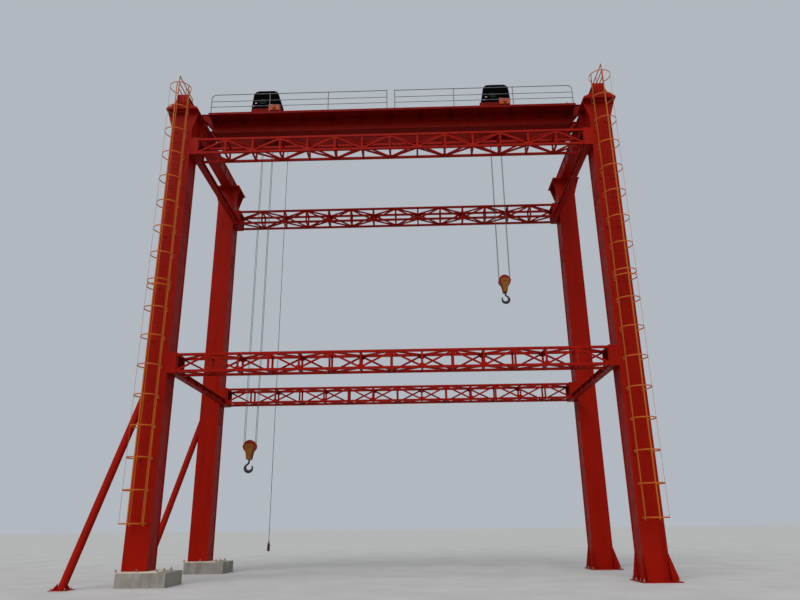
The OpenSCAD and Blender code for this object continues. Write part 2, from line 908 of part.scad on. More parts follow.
// The side view of a girder, drawn in by the given inset.
module girder_side(inset) {
    right = girder_end_line(inset);
    polygon(concat(right, [for (k = [len(right) - 1 : -1 : 0]) [-right[k][0], right[k][1]]]));
}

module girder(row) {
    color([0.66, 0.05, 0.03])
        placed()
            translate([0, -bridge_forward + row * gauge_half, girder_top]) {
                xz_plate(0, girder_width)
                    difference() {
                        girder_side(0);
                        girder_side(girder_flange);
                    }
                xz_plate(0, 2 * web_half)
                    girder_side(girder_flange / 2);
            }
}

module front_girder() {
    girder(-1);
}

module rear_girder() {
    girder(1);
}

module end_carriage(side) {
    wheel_z = rail_top + wheel_gap + carriage_wheel / 2;
    wheel_y = carriage_length / 2 - carriage_wheel_inset;
    slot = carriage_wheel + 40;
    color([0.64, 0.05, 0.03])
        placed()
            translate([side * leg_x, -bridge_forward, 0]) {
                difference() {
                    block_at(0, 0, carriage_bottom, [carriage_width, carriage_length, carriage_height]);
                    for (y = [-wheel_y, wheel_y])
                        block_at(0, y, carriage_bottom - 10,
                            [carriage_wheel_width + 30, slot, wheel_z + carriage_wheel / 2 + 15 - carriage_bottom]);
                }
                for (y = [-wheel_y, wheel_y])
                    translate([0, y, wheel_z])
                        rotate([0, 90, 0]) {
                            translate([0, 0, -carriage_wheel_width / 2])
                                cylinder(h = carriage_wheel_width, d = carriage_wheel, $fn = 64);
                            translate([0, 0, -carriage_wheel_width])
                                cylinder(h = 2 * carriage_wheel_width, d = 80, $fn = 32);
                        }
                for (y = [-1, 1])
                    translate([0, y * carriage_length / 2, carriage_bottom + carriage_height / 2])
                        rotate([-90 * y, 0, 0])
                            cylinder(h = 40, d = 120, $fn = 32);
            }
}

module left_end_carriage() {
    end_carriage(-1);
}

module right_end_carriage() {
    end_carriage(1);
}

module trolley_rails() {
    color([0.42, 0.38, 0.35])
        placed()
            for (row = [-1, 1])
                translate([0, -bridge_forward + row * gauge_half, girder_top]) {
                    yz_plate(0, 2 * (trolley_rail_half + join))
                        rail_section(trolley_rail_width * 1.6, trolley_rail_height);
                    for (x = [0, 1])
                        mirror([x, 0, 0])
                            translate([trolley_rail_half, -rail_stop_width / 2, 0])
                                cube([70, rail_stop_width, rail_stop_height]);
                }
}

module walkway(row) {
    bracket_step = 2 * (walkway_half - 150) / (walkway_brackets - 1);
    color([0.6, 0.05, 0.03])
        placed()
            translate([0, -bridge_forward, deck_z])
                mirror([0, row < 0 ? 1 : 0, 0])
                    translate([0, gauge_half + flange_half, 0]) {
                        translate([-walkway_half, -girder_recess, -walkway_deck])
                            cube([2 * walkway_half, walkway_width + girder_recess, walkway_deck]);
                        translate([-walkway_half, walkway_width - edge_board, -walkway_deck - edge_board_down])
                            cube([2 * walkway_half, edge_board, walkway_deck + edge_board_down + edge_board_up]);
                        for (k = [0 : walkway_brackets - 1])
                            yz_plate(-walkway_half + 150 + k * bracket_step, edge_board)
                                polygon([
                                    [-girder_recess, -walkway_deck], [-girder_recess, -walkway_bracket_depth],
                                    [walkway_width - edge_board, -walkway_deck - edge_board_down],
                                    [walkway_width - edge_board, -walkway_deck]
                                ]);
                    }
}

module front_walkway() {
    walkway(-1);
}

module rear_walkway() {
    walkway(1);
}

// One handrail section: the outer end is rounded, the inner end is square.
module handrail_section(side) {
    inner = handrail_break / 2;
    outer = inner + 3 * handrail_bay;
    mirror([side < 0 ? 1 : 0, 0, 0]) {
        for (k = [0 : 2])
            translate([inner + k * handrail_bay, 0, 0])
                cylinder(h = handrail_height, d = handrail_tube, $fn = 8);
        translate([outer, 0, 0])
            cylinder(h = handrail_height - handrail_bend, d = handrail_tube, $fn = 8);
        translate([outer - handrail_bend, 0, handrail_height - handrail_bend])
            rotate([90, 0, 0])
                rotate_extrude(angle = 90, $fn = 64)
                    translate([handrail_bend, 0])
                        circle(d = handrail_tube, $fn = 8);
        translate([inner, 0, handrail_height])
            rotate([0, 90, 0])
                cylinder(h = outer - handrail_bend - inner, d = handrail_tube, $fn = 8);
        for (z = [handrail_lower, handrail_middle])
            translate([inner, 0, z])
                rotate([0, 90, 0])
                    cylinder(h = outer - inner, d = 0.8 * handrail_tube, $fn = 8);
    }
}

module handrail(row) {
    y = row * (gauge_half + flange_half + walkway_width - edge_board - handrail_tube);
    color([0.5, 0.5, 0.52])
        placed()
            translate([0, -bridge_forward + y, deck_z])
                for (side = [-1, 1])
                    handrail_section(side);
}

module front_handrail() {
    handrail(-1);
}

module rear_handrail() {
    handrail(1);
}

// The rectangle of beams that carries a hoist, with its wheels and drum bearings.
module trolley_frame(hoist_x, arm) {
    wheel_z = trolley_rail_top + wheel_gap + trolley_wheel / 2;
    wheel_x = trolley_half - trolley_wheel_inset;
    slot = trolley_wheel + 40;
    inside = trolley_gauge - trolley_beam;
    cross = trolley_beam;
    reach = (cross_beam_gap - cross) / 2;
    color([0.62, 0.08, 0.04])
        placed()
            translate([hoist_x, -bridge_forward, 0]) {
                for (row = [-1, 1])
                    translate([0, row * gauge_half, 0]) {
                        difference() {
                            block_at(0, 0, beam_bottom, [trolley_length, trolley_beam, trolley_beam_height]);
                            for (x = [-wheel_x, wheel_x])
                                block_at(x, 0, beam_bottom - 10,
                                    [slot, trolley_wheel_width + 20, wheel_z + trolley_wheel / 2 + 15 - beam_bottom]);
                        }
                        for (x = [-wheel_x, wheel_x])
                            translate([x, 0, wheel_z])
                                rotate([90, 0, 0]) {
                                    translate([0, 0, -trolley_wheel_width / 2])
                                        cylinder(h = trolley_wheel_width, d = trolley_wheel, $fn = 48);
                                    translate([0, 0, -trolley_beam / 2 - 15])
                                        cylinder(h = trolley_beam + 30, d = 60, $fn = 32);
                                }
                    }
                for (x = [-1, 1])
                    block_at(x * cross_beam_gap / 2, 0, beam_top - 200, [cross, inside + 2 * join, 200]);
                for (row = [0, 1])
                    mirror([0, row, 0])
                        xz_plate(bearing_y + bearing_plate / 2, bearing_plate)
                            polygon([
                                [-reach - join, beam_top - 200], [reach + join, beam_top - 200],
                                [reach + join, beam_top - join], [reach, beam_top],
                                [drum_shaft, drum_z + drum_shaft], [-drum_shaft, drum_z + drum_shaft],
                                [-reach, beam_top], [-reach - join, beam_top - join]
                            ]);
                if (arm)
                    translate([(cross_beam_gap + cross) / 2 - join, -40, pendant_top])
                        cube([pendant_x - (cross_beam_gap + cross) / 2 + 40 + join, 80, 80]);
            }
}

module left_trolley_frame() {
    trolley_frame(-left_hoist_x, true);
}

module right_trolley_frame() {
    trolley_frame(right_hoist_x, false);
}

module drum(hoist_x) {
    color([0.35, 0.33, 0.32])
        placed()
            translate([hoist_x, -bridge_forward, drum_z])
                rotate([90, 0, 0]) {
                    translate([0, 0, -drum_length / 2])
                        cylinder(h = drum_length, r = drum_radius, $fn = 96);
                    for (z = [-drum_length / 2 - 20, drum_length / 2])
                        translate([0, 0, z])
                            cylinder(h = 20, r = drum_radius + drum_flange, $fn = 96);
                    translate([0, 0, -drum_length / 2 - 30])
                        cylinder(h = drum_length + 60, d = drum_shaft, $fn = 48);
                }
}

module left_drum() {
    drum(-left_hoist_x);
}

module right_drum() {
    drum(right_hoist_x);
}

// Points along a rounded corner.
function corner_arc(x, z, radius, first) =
    [for (k = [0 : 8]) [x + radius * cos(first + 11.25 * k), z + radius * sin(first + 11.25 * k)]];

// The rounded front view of a cover, drawn in by the given inset.
module cover_front(inset) {
    half = cover_width / 2 - inset;
    low = cover_foot_round - inset;
    high = cover_round - inset;
    right = concat(
        corner_arc(half - low, inset + low, low, -90),
        corner_arc(half - cover_taper - high, cover_height - inset - high, high, 0)
    );
    polygon(concat(right, [for (k = [len(right) - 1 : -1 : 0]) [-right[k][0], right[k][1]]]));
}

// The oval of the grille in a cover: a middle with a round at each end.
module grille_oval() {
    round = grille_height / 2;
    translate([-grille_shift, grille_z - beam_top]) {
        square([grille_width - grille_height, grille_height], center = true);
        for (x = [-1, 1])
            translate([x * (grille_width / 2 - round), 0])
                circle(round, $fn = 64);
    }
}

module cover(hoist_x) {
    opening = cross_beam_gap - trolley_beam;
    out = hoist_x < 0 ? -cover_shift : cover_shift;
    color([0.05, 0.05, 0.05])
        placed()
            translate([hoist_x + out, -bridge_forward, beam_top]) {
                xz_plate(0, cover_depth)
                    difference() {
                        cover_front(0);
                        cover_front(cover_wall);
                        translate([-opening / 2 - out, -1])
                            square([opening, cover_wall + 2]);
                    }
                xz_plate((cover_depth - cover_wall) / 2, cover_wall)
                    cover_front(cover_wall / 2);
                xz_plate(-(cover_depth - cover_wall) / 2, cover_wall)
                    difference() {
                        cover_front(cover_wall / 2);
                        grille_oval();
                    }
                xz_plate(-(cover_depth - cover_wall) / 2, cover_wall)
                    for (k = [1 : grille_slats])
                        translate([-grille_shift, grille_z - beam_top - grille_height / 2
                            + k * grille_height / (grille_slats + 1)])
                            square([grille_width + 20 * join, 22], center = true);
            }
}

module left_cover() {
    cover(-left_hoist_x);
}

module right_cover() {
    cover(right_hoist_x);
}

// A drive box hangs on the front beam of its trolley, clear of the axle ends.
module drive_box(hoist_x) {
    front = gauge_half + trolley_beam / 2 + drive_box_pad;
    start = trolley_half - drive_box_inset - drive_box_width;
    color([0.85, 0.3, 0.05])
        placed()
            translate([hoist_x, -bridge_forward, beam_top]) {
                translate([start, -front - drive_box_depth, 20 - drive_box_height])
                    cube([drive_box_width, drive_box_depth, drive_box_height]);
                translate([start, -front - 1, -70])
                    cube([drive_box_width, drive_box_pad + 1, 60]);
                translate([start + drive_box_width / 2, -front - drive_box_depth, 20 - drive_box_height / 2])
                    rotate([90, 0, 0])
                        cylinder(h = 60, d = 0.6 * drive_box_height, $fn = 48);
            }
}

module left_drive_box() {
    drive_box(-left_hoist_x);
}

module right_drive_box() {
    drive_box(right_hoist_x);
}

// Four falls of rope, each just clear of the drum above and the sheaves below.
module ropes(hoist_x, block_z) {
    color([0.2, 0.2, 0.2])
        placed()
            for (x = [-rope_x, rope_x])
                for (y = [-rope_row, rope_row])
                    translate([hoist_x + x, -bridge_forward + y, block_z])
                        cylinder(h = drum_z - block_z, r = rope_radius, $fn = 16);
}

module left_ropes() {
    ropes(-left_hoist_x, left_block_z);
}

module right_ropes() {
    ropes(right_hoist_x, right_block_z);
}

// The two cheeks of a block with the crosshead between them.
module block_cheeks(hoist_x, block_z) {
    foot_z = -crosshead_drop - crosshead_height / 2;
    color([0.75, 0.42, 0.1])
        placed()
            translate([hoist_x, -bridge_forward, block_z]) {
                for (row = [-1, 1])
                    xz_plate(row * (cheek_in + cheek_plate / 2), cheek_plate)
                        polygon([
                            [-cheek_top_width / 2, cheek_rise], [-cheek_width / 2, 0],
                            [-cheek_foot_width / 2, foot_z], [cheek_foot_width / 2, foot_z],
                            [cheek_width / 2, 0], [cheek_top_width / 2, cheek_rise]
                        ]);
                difference() {
                    block_at(0, 0, foot_z, [crosshead_width, 2 * (cheek_in + join), crosshead_height]);
                    translate([0, 0, foot_z - 1])
                        cylinder(h = crosshead_height + 2, d = shank_diameter + 2 * shank_gap, $fn = 64);
                }
            }
}

module left_block_cheeks() {
    block_cheeks(-left_hoist_x, left_block_z);
}

module right_block_cheeks() {
    block_cheeks(right_hoist_x, right_block_z);
}

// One grooved sheave with hub, web and rim as a profile for turning.
module sheave_profile() {
    half = sheave_width / 2;
    hub = sheave_hub / 2;
    web = sheave_web / 2;
    rim = sheave_root - 30;
    polygon([
        [0, -half], [hub, -half], [hub, -web], [rim - 10, -web], [rim, -half],
        [sheave_radius, -half], [sheave_radius, -half + 8],
        [sheave_root, -rope_radius - 1], [sheave_root, rope_radius + 1],
        [sheave_radius, half - 8], [sheave_radius, half],
        [rim, half], [rim - 10, web], [hub, web], [hub, half], [0, half]
    ]);
}

// Two sheaves on their pin, over a guard that is open where the ropes come in.
module sheaves(hoist_x, block_z) {
    band_in = guard_radius - guard_plate;
    color([0.7, 0.08, 0.04])
        placed()
            translate([hoist_x, -bridge_forward, block_z])
                rotate([90, 0, 0]) {
                    for (z = [-rope_row, rope_row])
                        translate([0, 0, z])
                            rotate_extrude($fn = 96)
                                sheave_profile();
                    translate([0, 0, -cheek_in])
                        cylinder(h = 2 * cheek_in, d = sheave_pin, $fn = 48);
                    for (z = [-guard_half - guard_plate, guard_half])
                        translate([0, 0, z])
                            linear_extrude(guard_plate)
                                difference() {
                                    circle(guard_radius, $fn = 96);
                                    translate([-guard_radius - 1, guard_rise])
                                        square([2 * guard_radius + 2, guard_radius]);
                                }
                    rotate([0, 0, 180])
                        translate([0, 0, -guard_half])
                            rotate_extrude(angle = 180, $fn = 96)
                                translate([band_in, 0])
                                    square([guard_plate, 2 * guard_half]);
                }
}

module left_sheaves() {
    sheaves(-left_hoist_x, left_block_z);
}

module right_sheaves() {
    sheaves(right_hoist_x, right_block_z);
}

// The middle line of a hook from its shank round the bowl to the tip.
hook_steps = 22;
hook_sides = 12;
bowl_start = 58;
bowl_end = -212;

function hook_angle(t) = bowl_start + (bowl_end - bowl_start) * t;

function hook_point(t) = [bowl_radius * cos(hook_angle(t)), bowl_radius * sin(hook_angle(t))];

function hook_size(t) =
    t < 0.45 ? shank_diameter / 2 + (bowl_thickness - shank_diameter / 2) * sin(90 * t / 0.45)
    : tip_thickness + (bowl_thickness - tip_thickness) * cos(90 * (t - 0.45) / 0.55);

// Neck sections lead from the straight shank into the bowl.
neck_top = [0, bowl_drop - 120];
neck_points = [
    [0, bowl_drop + crosshead_height + nut_height],
    neck_top,
    [0.12 * bowl_radius, 0.62 * neck_top[1] + 0.38 * hook_point(0)[1]],
    [0.34 * bowl_radius, 0.28 * neck_top[1] + 0.72 * hook_point(0)[1]]
];
hook_line = concat(neck_points, [for (k = [0 : hook_steps]) hook_point(k / hook_steps)]);
hook_radii = concat(
    [for (p = neck_points) shank_diameter / 2],
    [for (k = [0 : hook_steps]) hook_size(k / hook_steps)]
);
hook_last = len(hook_line) - 1;

function hook_heading(k) =
    k == 0 ? hook_line[1] - hook_line[0]
    : k == hook_last ? hook_line[k] - hook_line[k - 1]
    : hook_line[k + 1] - hook_line[k - 1];

function hook_ring(k) =
    let (d = hook_heading(k) / norm(hook_heading(k)))
    [for (s = [0 : hook_sides - 1])
        let (turn = 360 * s / hook_sides)
        [hook_line[k][0] + hook_radii[k] * cos(turn) * d[1],
            hook_radii[k] * sin(turn) * (k > 4 ? 0.86 : 1),
            hook_line[k][1] - hook_radii[k] * cos(turn) * d[0]]];

hook_vertices = [for (k = [0 : hook_last]) each hook_ring(k)];
hook_walls = [for (k = [0 : hook_last - 1]) for (s = [0 : hook_sides - 1])
    let (a = k * hook_sides + s)
    let (b = k * hook_sides + (s + 1) % hook_sides)
    each [[a, b + hook_sides, b], [a, a + hook_sides, b + hook_sides]]];
hook_caps = [
    [for (s = [0 : hook_sides - 1]) s],
    [for (s = [hook_sides - 1 : -1 : 0]) hook_last * hook_sides + s]
];

// turn is 0 where the mouth opens to the left and 180 where it opens to the right.
module hook(hoist_x, block_z, turn) {
    bowl_z = block_z - crosshead_drop - crosshead_height / 2 - bowl_drop;
    color([0.08, 0.08, 0.08])
        placed()
            translate([hoist_x, -bridge_forward, bowl_z])
                rotate([0, 0, turn]) {
                    polyhedron(points = hook_vertices, faces = concat(hook_walls, hook_caps));
                    translate([0, 0, bowl_drop + crosshead_height + wheel_gap])
                        cylinder(h = nut_height - 10, d = nut_diameter, $fn = 6);
                }
}

module left_hook() {
    hook(-left_hoist_x, left_block_z, 180);
}

module right_hook() {
    hook(right_hoist_x, right_block_z, 0);
}

module pendant() {
    top = pendant_z + pendant_height;
    color([0.12, 0.12, 0.12])
        placed()
            translate([-left_hoist_x + pendant_x, -bridge_forward, 0]) {
                translate([0, 0, top])
                    cylinder(h = pendant_top - top, d = pendant_cable_diameter, $fn = 12);
                block_at(0, 0, pendant_z, [pendant_width, pendant_depth, pendant_height]);
            }
}

front_left_leg();
front_right_leg();
rear_left_leg();
rear_right_leg();
leg_heads();
leg_feet();
base_plates();
plinths();
left_runway_beam();
right_runway_beam();
runway_rails();
upper_front_truss();
upper_rear_truss();
lower_front_truss();
lower_rear_truss();
upper_side_ties();
lower_side_ties();
left_props();
left_ladder();
right_ladder();
front_girder();
rear_girder();
left_end_carriage();
right_end_carriage();
trolley_rails();
front_walkway();
rear_walkway();
front_handrail();
rear_handrail();
left_trolley_frame();
left_drum();
left_cover();
left_drive_box();
right_trolley_frame();
right_drum();
right_cover();
right_drive_box();
left_ropes();
right_ropes();
left_block_cheeks();
right_block_cheeks();
left_sheaves();
right_sheaves();
left_hook();
right_hook();
pendant();
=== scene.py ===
"""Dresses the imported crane: paint, ropes, bolts, rails, covers and hooks, with camera, lights and floor."""

import json
import math

import bpy
from mathutils import Matrix, Vector


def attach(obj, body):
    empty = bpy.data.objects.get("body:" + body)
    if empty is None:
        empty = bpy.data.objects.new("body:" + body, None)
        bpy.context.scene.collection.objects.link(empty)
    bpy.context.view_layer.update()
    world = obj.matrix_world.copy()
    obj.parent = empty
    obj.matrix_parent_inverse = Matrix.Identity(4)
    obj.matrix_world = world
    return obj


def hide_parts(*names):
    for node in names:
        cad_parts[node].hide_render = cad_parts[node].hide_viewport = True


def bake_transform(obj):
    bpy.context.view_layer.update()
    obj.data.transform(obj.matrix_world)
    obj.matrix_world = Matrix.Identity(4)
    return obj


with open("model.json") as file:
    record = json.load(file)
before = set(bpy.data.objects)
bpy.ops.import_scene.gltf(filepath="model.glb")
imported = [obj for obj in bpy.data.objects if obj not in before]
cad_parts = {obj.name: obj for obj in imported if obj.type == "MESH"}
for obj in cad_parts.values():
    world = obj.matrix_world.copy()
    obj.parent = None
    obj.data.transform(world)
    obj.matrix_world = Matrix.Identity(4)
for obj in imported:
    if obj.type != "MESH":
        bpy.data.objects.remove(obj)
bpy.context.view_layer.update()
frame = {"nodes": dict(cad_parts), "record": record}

# Sizes of the CAD solids in metres: x from mid span, y from mid depth, z from the ground.
SIDES = (-1, 1)
SHIFT_X = 0.91
SHIFT_Y = 0.475

# Legs, their heads and feet.
LEG_X = 10.6
LEG_Y = 4.1
LEG_HALF = 0.52
WEB_HALF = 0.49
LEG_TOP = 22.55
CAP_TOP = 22.6
HEAD_OUT = 0.82
SPLICE_Z = (7.7, 17.25)
PLINTH_TOP = 0.6
BASE_SHIFT = 0.24
BASE_BOLTS = 0.82
FOOT_TOP = 0.04
PROP_FOOT_X = -12.94
PROP_FOOT_TOP = 0.03
PROP_REACH = 1.4
PROP_INSET = 0.32

# Trusses and ties.
LATTICE_HALF = 9.695
BAYS = 14
BAY = 2 * LATTICE_HALF / BAYS
TRUSS_HEIGHT = 0.87
TRUSS_FACE = 0.48
TRUSS_Z = {"lower": 8.9, "upper": 20.1}
CHORD = 0.11
TIE_X = 9.8875
TIE_Y = 3.58
TIE_RISE = 0.105

# Ladders.
LADDER_X = 10.55
LADDER_HALF = 0.29
LADDER_OUT = 0.37
LADDER_FOOT = 2.35
RUNG_PITCH = 0.3
HOOP_Z = 2.43
HOOP_PITCH = 1.31
HOOPS = 17

# Runway, bridge and walkways.
RUNWAY_TOP = 23.3
RAIL_TOP = 23.4
BRIDGE_Y = -0.9
GIRDER_TOP = 24.2
DECK_Z = 23.8
GAUGE_HALF = 0.825
FLANGE_HALF = 0.25
WALKWAY_EDGE = GAUGE_HALF + FLANGE_HALF + 0.645
WALKWAY_HALF = 10.03
EDGE_PLATE = 0.014
HANDRAIL_BAY = 3.235
HANDRAIL_GAP = 0.215
HANDRAIL_TOP = 1.23
HANDRAIL_MIDDLE = (0.45, 0.8)
HANDRAIL_BEND = 0.26
WHEEL_RADIUS = 0.17
WHEEL_X = 0.175
WHEEL_Y = 1.15

# Trolleys, ropes and hooks.
HOISTS = {"left": (-7.05, 6.0), "right": (5.8, 14.3)}
TROLLEY_HALF = 0.85
BEAM_TOP = 24.62
BEAM_Y = 0.915
DRIVE_BOX = 0.6
DRIVE_INSET = 0.05
COVER_HEIGHT = 1.3
COVER_DEPTH = 1.4
COVER_WIDTH = 1.6
COVER_TAPER = 0.08
COVER_SHIFT = 0.1
GRILLE_SHIFT = 0.18
GRILLE_SHARE = 0.48
DRUM_Z = 24.84
ROPE_X = 0.2813
ROPE_ROW = 0.12
ROPE_RADIUS = 0.011
CHEEK_Y = 0.195
CROSSHEAD_DROP = 0.59
CROSSHEAD_HALF = 0.055
BOWL_DROP = 0.38
PENDANT_X = 1.15
PENDANT_Z = 1.2
PENDANT_HEIGHT = 0.36
CABLE_RADIUS = 0.012


def place(x, y, z):
    """A point of the working frame in the row frame."""
    return Vector((x + SHIFT_X, y + SHIFT_Y, z))


X_AXIS = Vector((1, 0, 0))
Y_AXIS = Vector((0, 1, 0))
Z_AXIS = Vector((0, 0, 1))


def square_to(direction):
    """Two unit vectors that stand square to a direction and to each other."""
    direction = direction.normalized()
    helper = X_AXIS if abs(direction.x) < 0.9 else Y_AXIS
    first = helper.cross(direction).normalized()
    return first, direction.cross(first).normalized()


def ring(centre, first, second, radius, sides):
    """Points on a circle in the plane of two unit vectors."""
    return [
        centre + (first * math.cos(a) + second * math.sin(a)) * radius
        for a in (2 * math.pi * s / sides for s in range(sides))
    ]


def spokes(count, start, u, v):
    """Unit vectors spread evenly round a circle in the plane of u and v, from an angle in degrees."""
    angles = [math.radians(start + 360 * k / count) for k in range(count)]
    return [u * math.cos(a) + v * math.sin(a) for a in angles]


class Shape:
    """Collects points and faces, and becomes one mesh piece."""

    def __init__(self):
        self.points = []
        self.faces = []

    def add(self, points, faces):
        start = len(self.points)
        self.points.extend(Vector(p) for p in points)
        self.faces.extend(tuple(start + i for i in f) for f in faces)

    def box(self, centre, size, turn=None):
        half = Vector(size) / 2
        corners = [Vector((x * half.x, y * half.y, z * half.z)) for x in SIDES for y in SIDES for z in SIDES]
        if turn is not None:
            corners = [turn @ c for c in corners]
        self.add(
            [Vector(centre) + c for c in corners],
            [(0, 1, 3, 2), (4, 6, 7, 5), (0, 4, 5, 1), (2, 3, 7, 6), (0, 2, 6, 4), (1, 5, 7, 3)],
        )

    def plate(self, outline, origin, u, v, thickness):
        """An outline in the plane of u and v, thickened evenly to both sides."""
        normal = u.cross(v).normalized()
        count = len(outline)
        rim = [origin + u * a + v * b for a, b in outline]
        points = [p - normal * thickness / 2 for p in rim] + [p + normal * thickness / 2 for p in rim]
        faces = [tuple(reversed(range(count))), tuple(range(count, 2 * count))]
        faces += [(k, (k + 1) % count, count + (k + 1) % count, count + k) for k in range(count)]
        self.add(points, faces)

    def loft(self, rings, closed_ends=True, loop=False):
        """Joins rings of points that run the same way round."""
        count = len(rings[0])
        faces = []
        last = len(rings) if loop else len(rings) - 1
        for r in range(last):
            s = (r + 1) % len(rings)
            for k in range(count):
                n = (k + 1) % count
                faces.append((r * count + k, r * count + n, s * count + n, s * count + k))
        if closed_ends and not loop:
            faces.append(tuple(reversed(range(count))))
            faces.append(tuple((len(rings) - 1) * count + k for k in range(count)))
        self.add([p for ring in rings for p in ring], faces)

    def tube(self, path, radius, sides=12, loop=False):
        """A round tube along a path, with its rings carried on without twist."""
        path = [Vector(p) for p in path]
        count = len(path)
        rings = []
        first = None
        for k, point in enumerate(path):
            ahead = path[(k + 1) % count] if loop or k < count - 1 else point
            behind = path[k - 1] if loop or k > 0 else point
            heading = (ahead - behind).normalized()
            if first is None:
                first, second = square_to(heading)
            else:
                first = (first - heading * first.dot(heading)).normalized()
                second = heading.cross(first)
            size = radius[k] if isinstance(radius, (list, tuple)) else radius
            rings.append(ring(point, first, second, size, sides))
        self.loft(rings, loop=loop)

    def turned(self, profile, origin, axis, sides=24):
        """A solid turned about an axis: profile holds (distance along the axis, radius)."""
        axis = Vector(axis).normalized()
        first, second = square_to(axis)
        self.loft([
            ring(Vector(origin) + axis * along, first, second, max(radius, 1e-4), sides)
            for along, radius in profile
        ])

    def bolt(self, point, direction, across=0.036, stub=0.0):
        """A washer and a six-sided head, with a stub of thread past a nut if asked."""
        direction = Vector(direction).normalized()
        radius = across / math.sqrt(3)
        washer = 0.14 * across
        chamfer = washer + 0.55 * across
        top = washer + 0.64 * across
        self.turned([(-0.002, radius * 1.5), (washer, radius * 1.5)], point, direction, 12)
        self.turned([(washer, radius), (chamfer, radius), (top, radius * 0.86)], point, direction, 6)
        if stub:
            thread = [(washer + 0.5 * across, radius * 0.5), (washer + 0.6 * across + stub, radius * 0.5)]
            self.turned(thread, point, direction, 8)

    def piece(self, name, body, slot, smooth=None, bevel=None, material=None):
        """One mesh object that rides on a body, smooth up to an angle in degrees."""
        mesh = bpy.data.meshes.new(name)
        mesh.from_pydata([tuple(p) for p in self.points], [], self.faces)
        mesh.update()
        obj = bpy.data.objects.new(name, mesh)
        bpy.context.scene.collection.objects.link(obj)
        mesh.materials.append(material or MATERIALS[slot])
        if smooth:
            mesh.shade_smooth()
            mesh.set_sharp_from_angle(angle=math.radians(smooth))
        if bevel:
            rounding = obj.modifiers.new("rounding", "BEVEL")
            rounding.width = bevel
            rounding.segments = 2
            rounding.limit_method = "ANGLE"
            rounding.angle_limit = math.radians(40)
        if body:
            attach(obj, body)
        return obj


def arc(centre, u, v, radius, start, end, count):
    """Points on an arc in the plane of u and v, with its angles in degrees."""
    return [
        centre + (u * math.cos(a) + v * math.sin(a)) * radius
        for a in (math.radians(start + (end - start) * k / count) for k in range(count + 1))
    ]


class Nodes:
    """A short way to write a node material."""

    def __init__(self, name):
        self.material = bpy.data.materials.new(name)
        self.material.use_nodes = True
        self.tree = self.material.node_tree
        self.shader = self.tree.nodes["Principled BSDF"]
        self.coords = self.tree.nodes.new("ShaderNodeTexCoord").outputs["Object"]

    def link(self, source, target):
        self.tree.links.new(source, target)

    def stretched(self, x, y, z):
        node = self.tree.nodes.new("ShaderNodeMapping")
        node.inputs["Scale"].default_value = (x, y, z)
        self.link(self.coords, node.inputs["Vector"])
        return node.outputs["Vector"]

    def noise(self, scale, detail=4.0, rough=0.5, vector=None):
        node = self.tree.nodes.new("ShaderNodeTexNoise")
        node.inputs["Scale"].default_value = scale
        node.inputs["Detail"].default_value = detail
        node.inputs["Roughness"].default_value = rough
        self.link(vector or self.coords, node.inputs["Vector"])
        return node.outputs["Fac"]

    def range(self, value, low, high, out_low, out_high):
        node = self.tree.nodes.new("ShaderNodeMapRange")
        for name, number in (("From Min", low), ("From Max", high), ("To Min", out_low), ("To Max", out_high)):
            node.inputs[name].default_value = number
        self.link(value, node.inputs["Value"])
        return node.outputs["Result"]

    def math(self, kind, a, b):
        node = self.tree.nodes.new("ShaderNodeMath")
        node.operation = kind
        for socket, value in zip(node.inputs, (a, b)):
            if isinstance(value, (int, float)):
                socket.default_value = value
            else:
                self.link(value, socket)
        return node.outputs[0]

    def mix(self, factor, a, b):
        node = self.tree.nodes.new("ShaderNodeMix")
        node.data_type = "RGBA"
        sockets = [s for s in node.inputs if s.type == "RGBA"]
        if isinstance(factor, (int, float)):
            node.inputs[0].default_value = factor
        else:
            self.link(factor, node.inputs[0])
        for socket, value in zip(sockets, (a, b)):
            if isinstance(value, tuple):
                socket.default_value = (*value, 1)
            else:
                self.link(value, socket)
        return next(s for s in node.outputs if s.type == "RGBA")

    def facing_up(self, low, high):
        """1 on surfaces that look up, such as where dust settles."""
        geometry = self.tree.nodes.new("ShaderNodeNewGeometry")
        parts = self.tree.nodes.new("ShaderNodeSeparateXYZ")
        self.link(geometry.outputs["Normal"], parts.inputs[0])
        return self.range(parts.outputs["Z"], low, high, 0, 1)

    def bump(self, height, strength, distance):
        node = self.tree.nodes.new("ShaderNodeBump")
        node.inputs["Strength"].default_value = strength
        node.inputs["Distance"].default_value = distance
        self.link(height, node.inputs["Height"])
        self.link(node.outputs["Normal"], self.shader.inputs["Normal"])

    def finish(self, colour, rough, metallic=0.0, gloss=0.5):
        if isinstance(colour, tuple):
            self.shader.inputs["Base Color"].default_value = (*colour, 1)
        else:
            self.link(colour, self.shader.inputs["Base Color"])
        if isinstance(rough, (int, float)):
            self.shader.inputs["Roughness"].default_value = rough
        else:
            self.link(rough, self.shader.inputs["Roughness"])
        self.shader.inputs["Metallic"].default_value = metallic
        self.shader.inputs["Specular IOR Level"].default_value = gloss
        return self.material


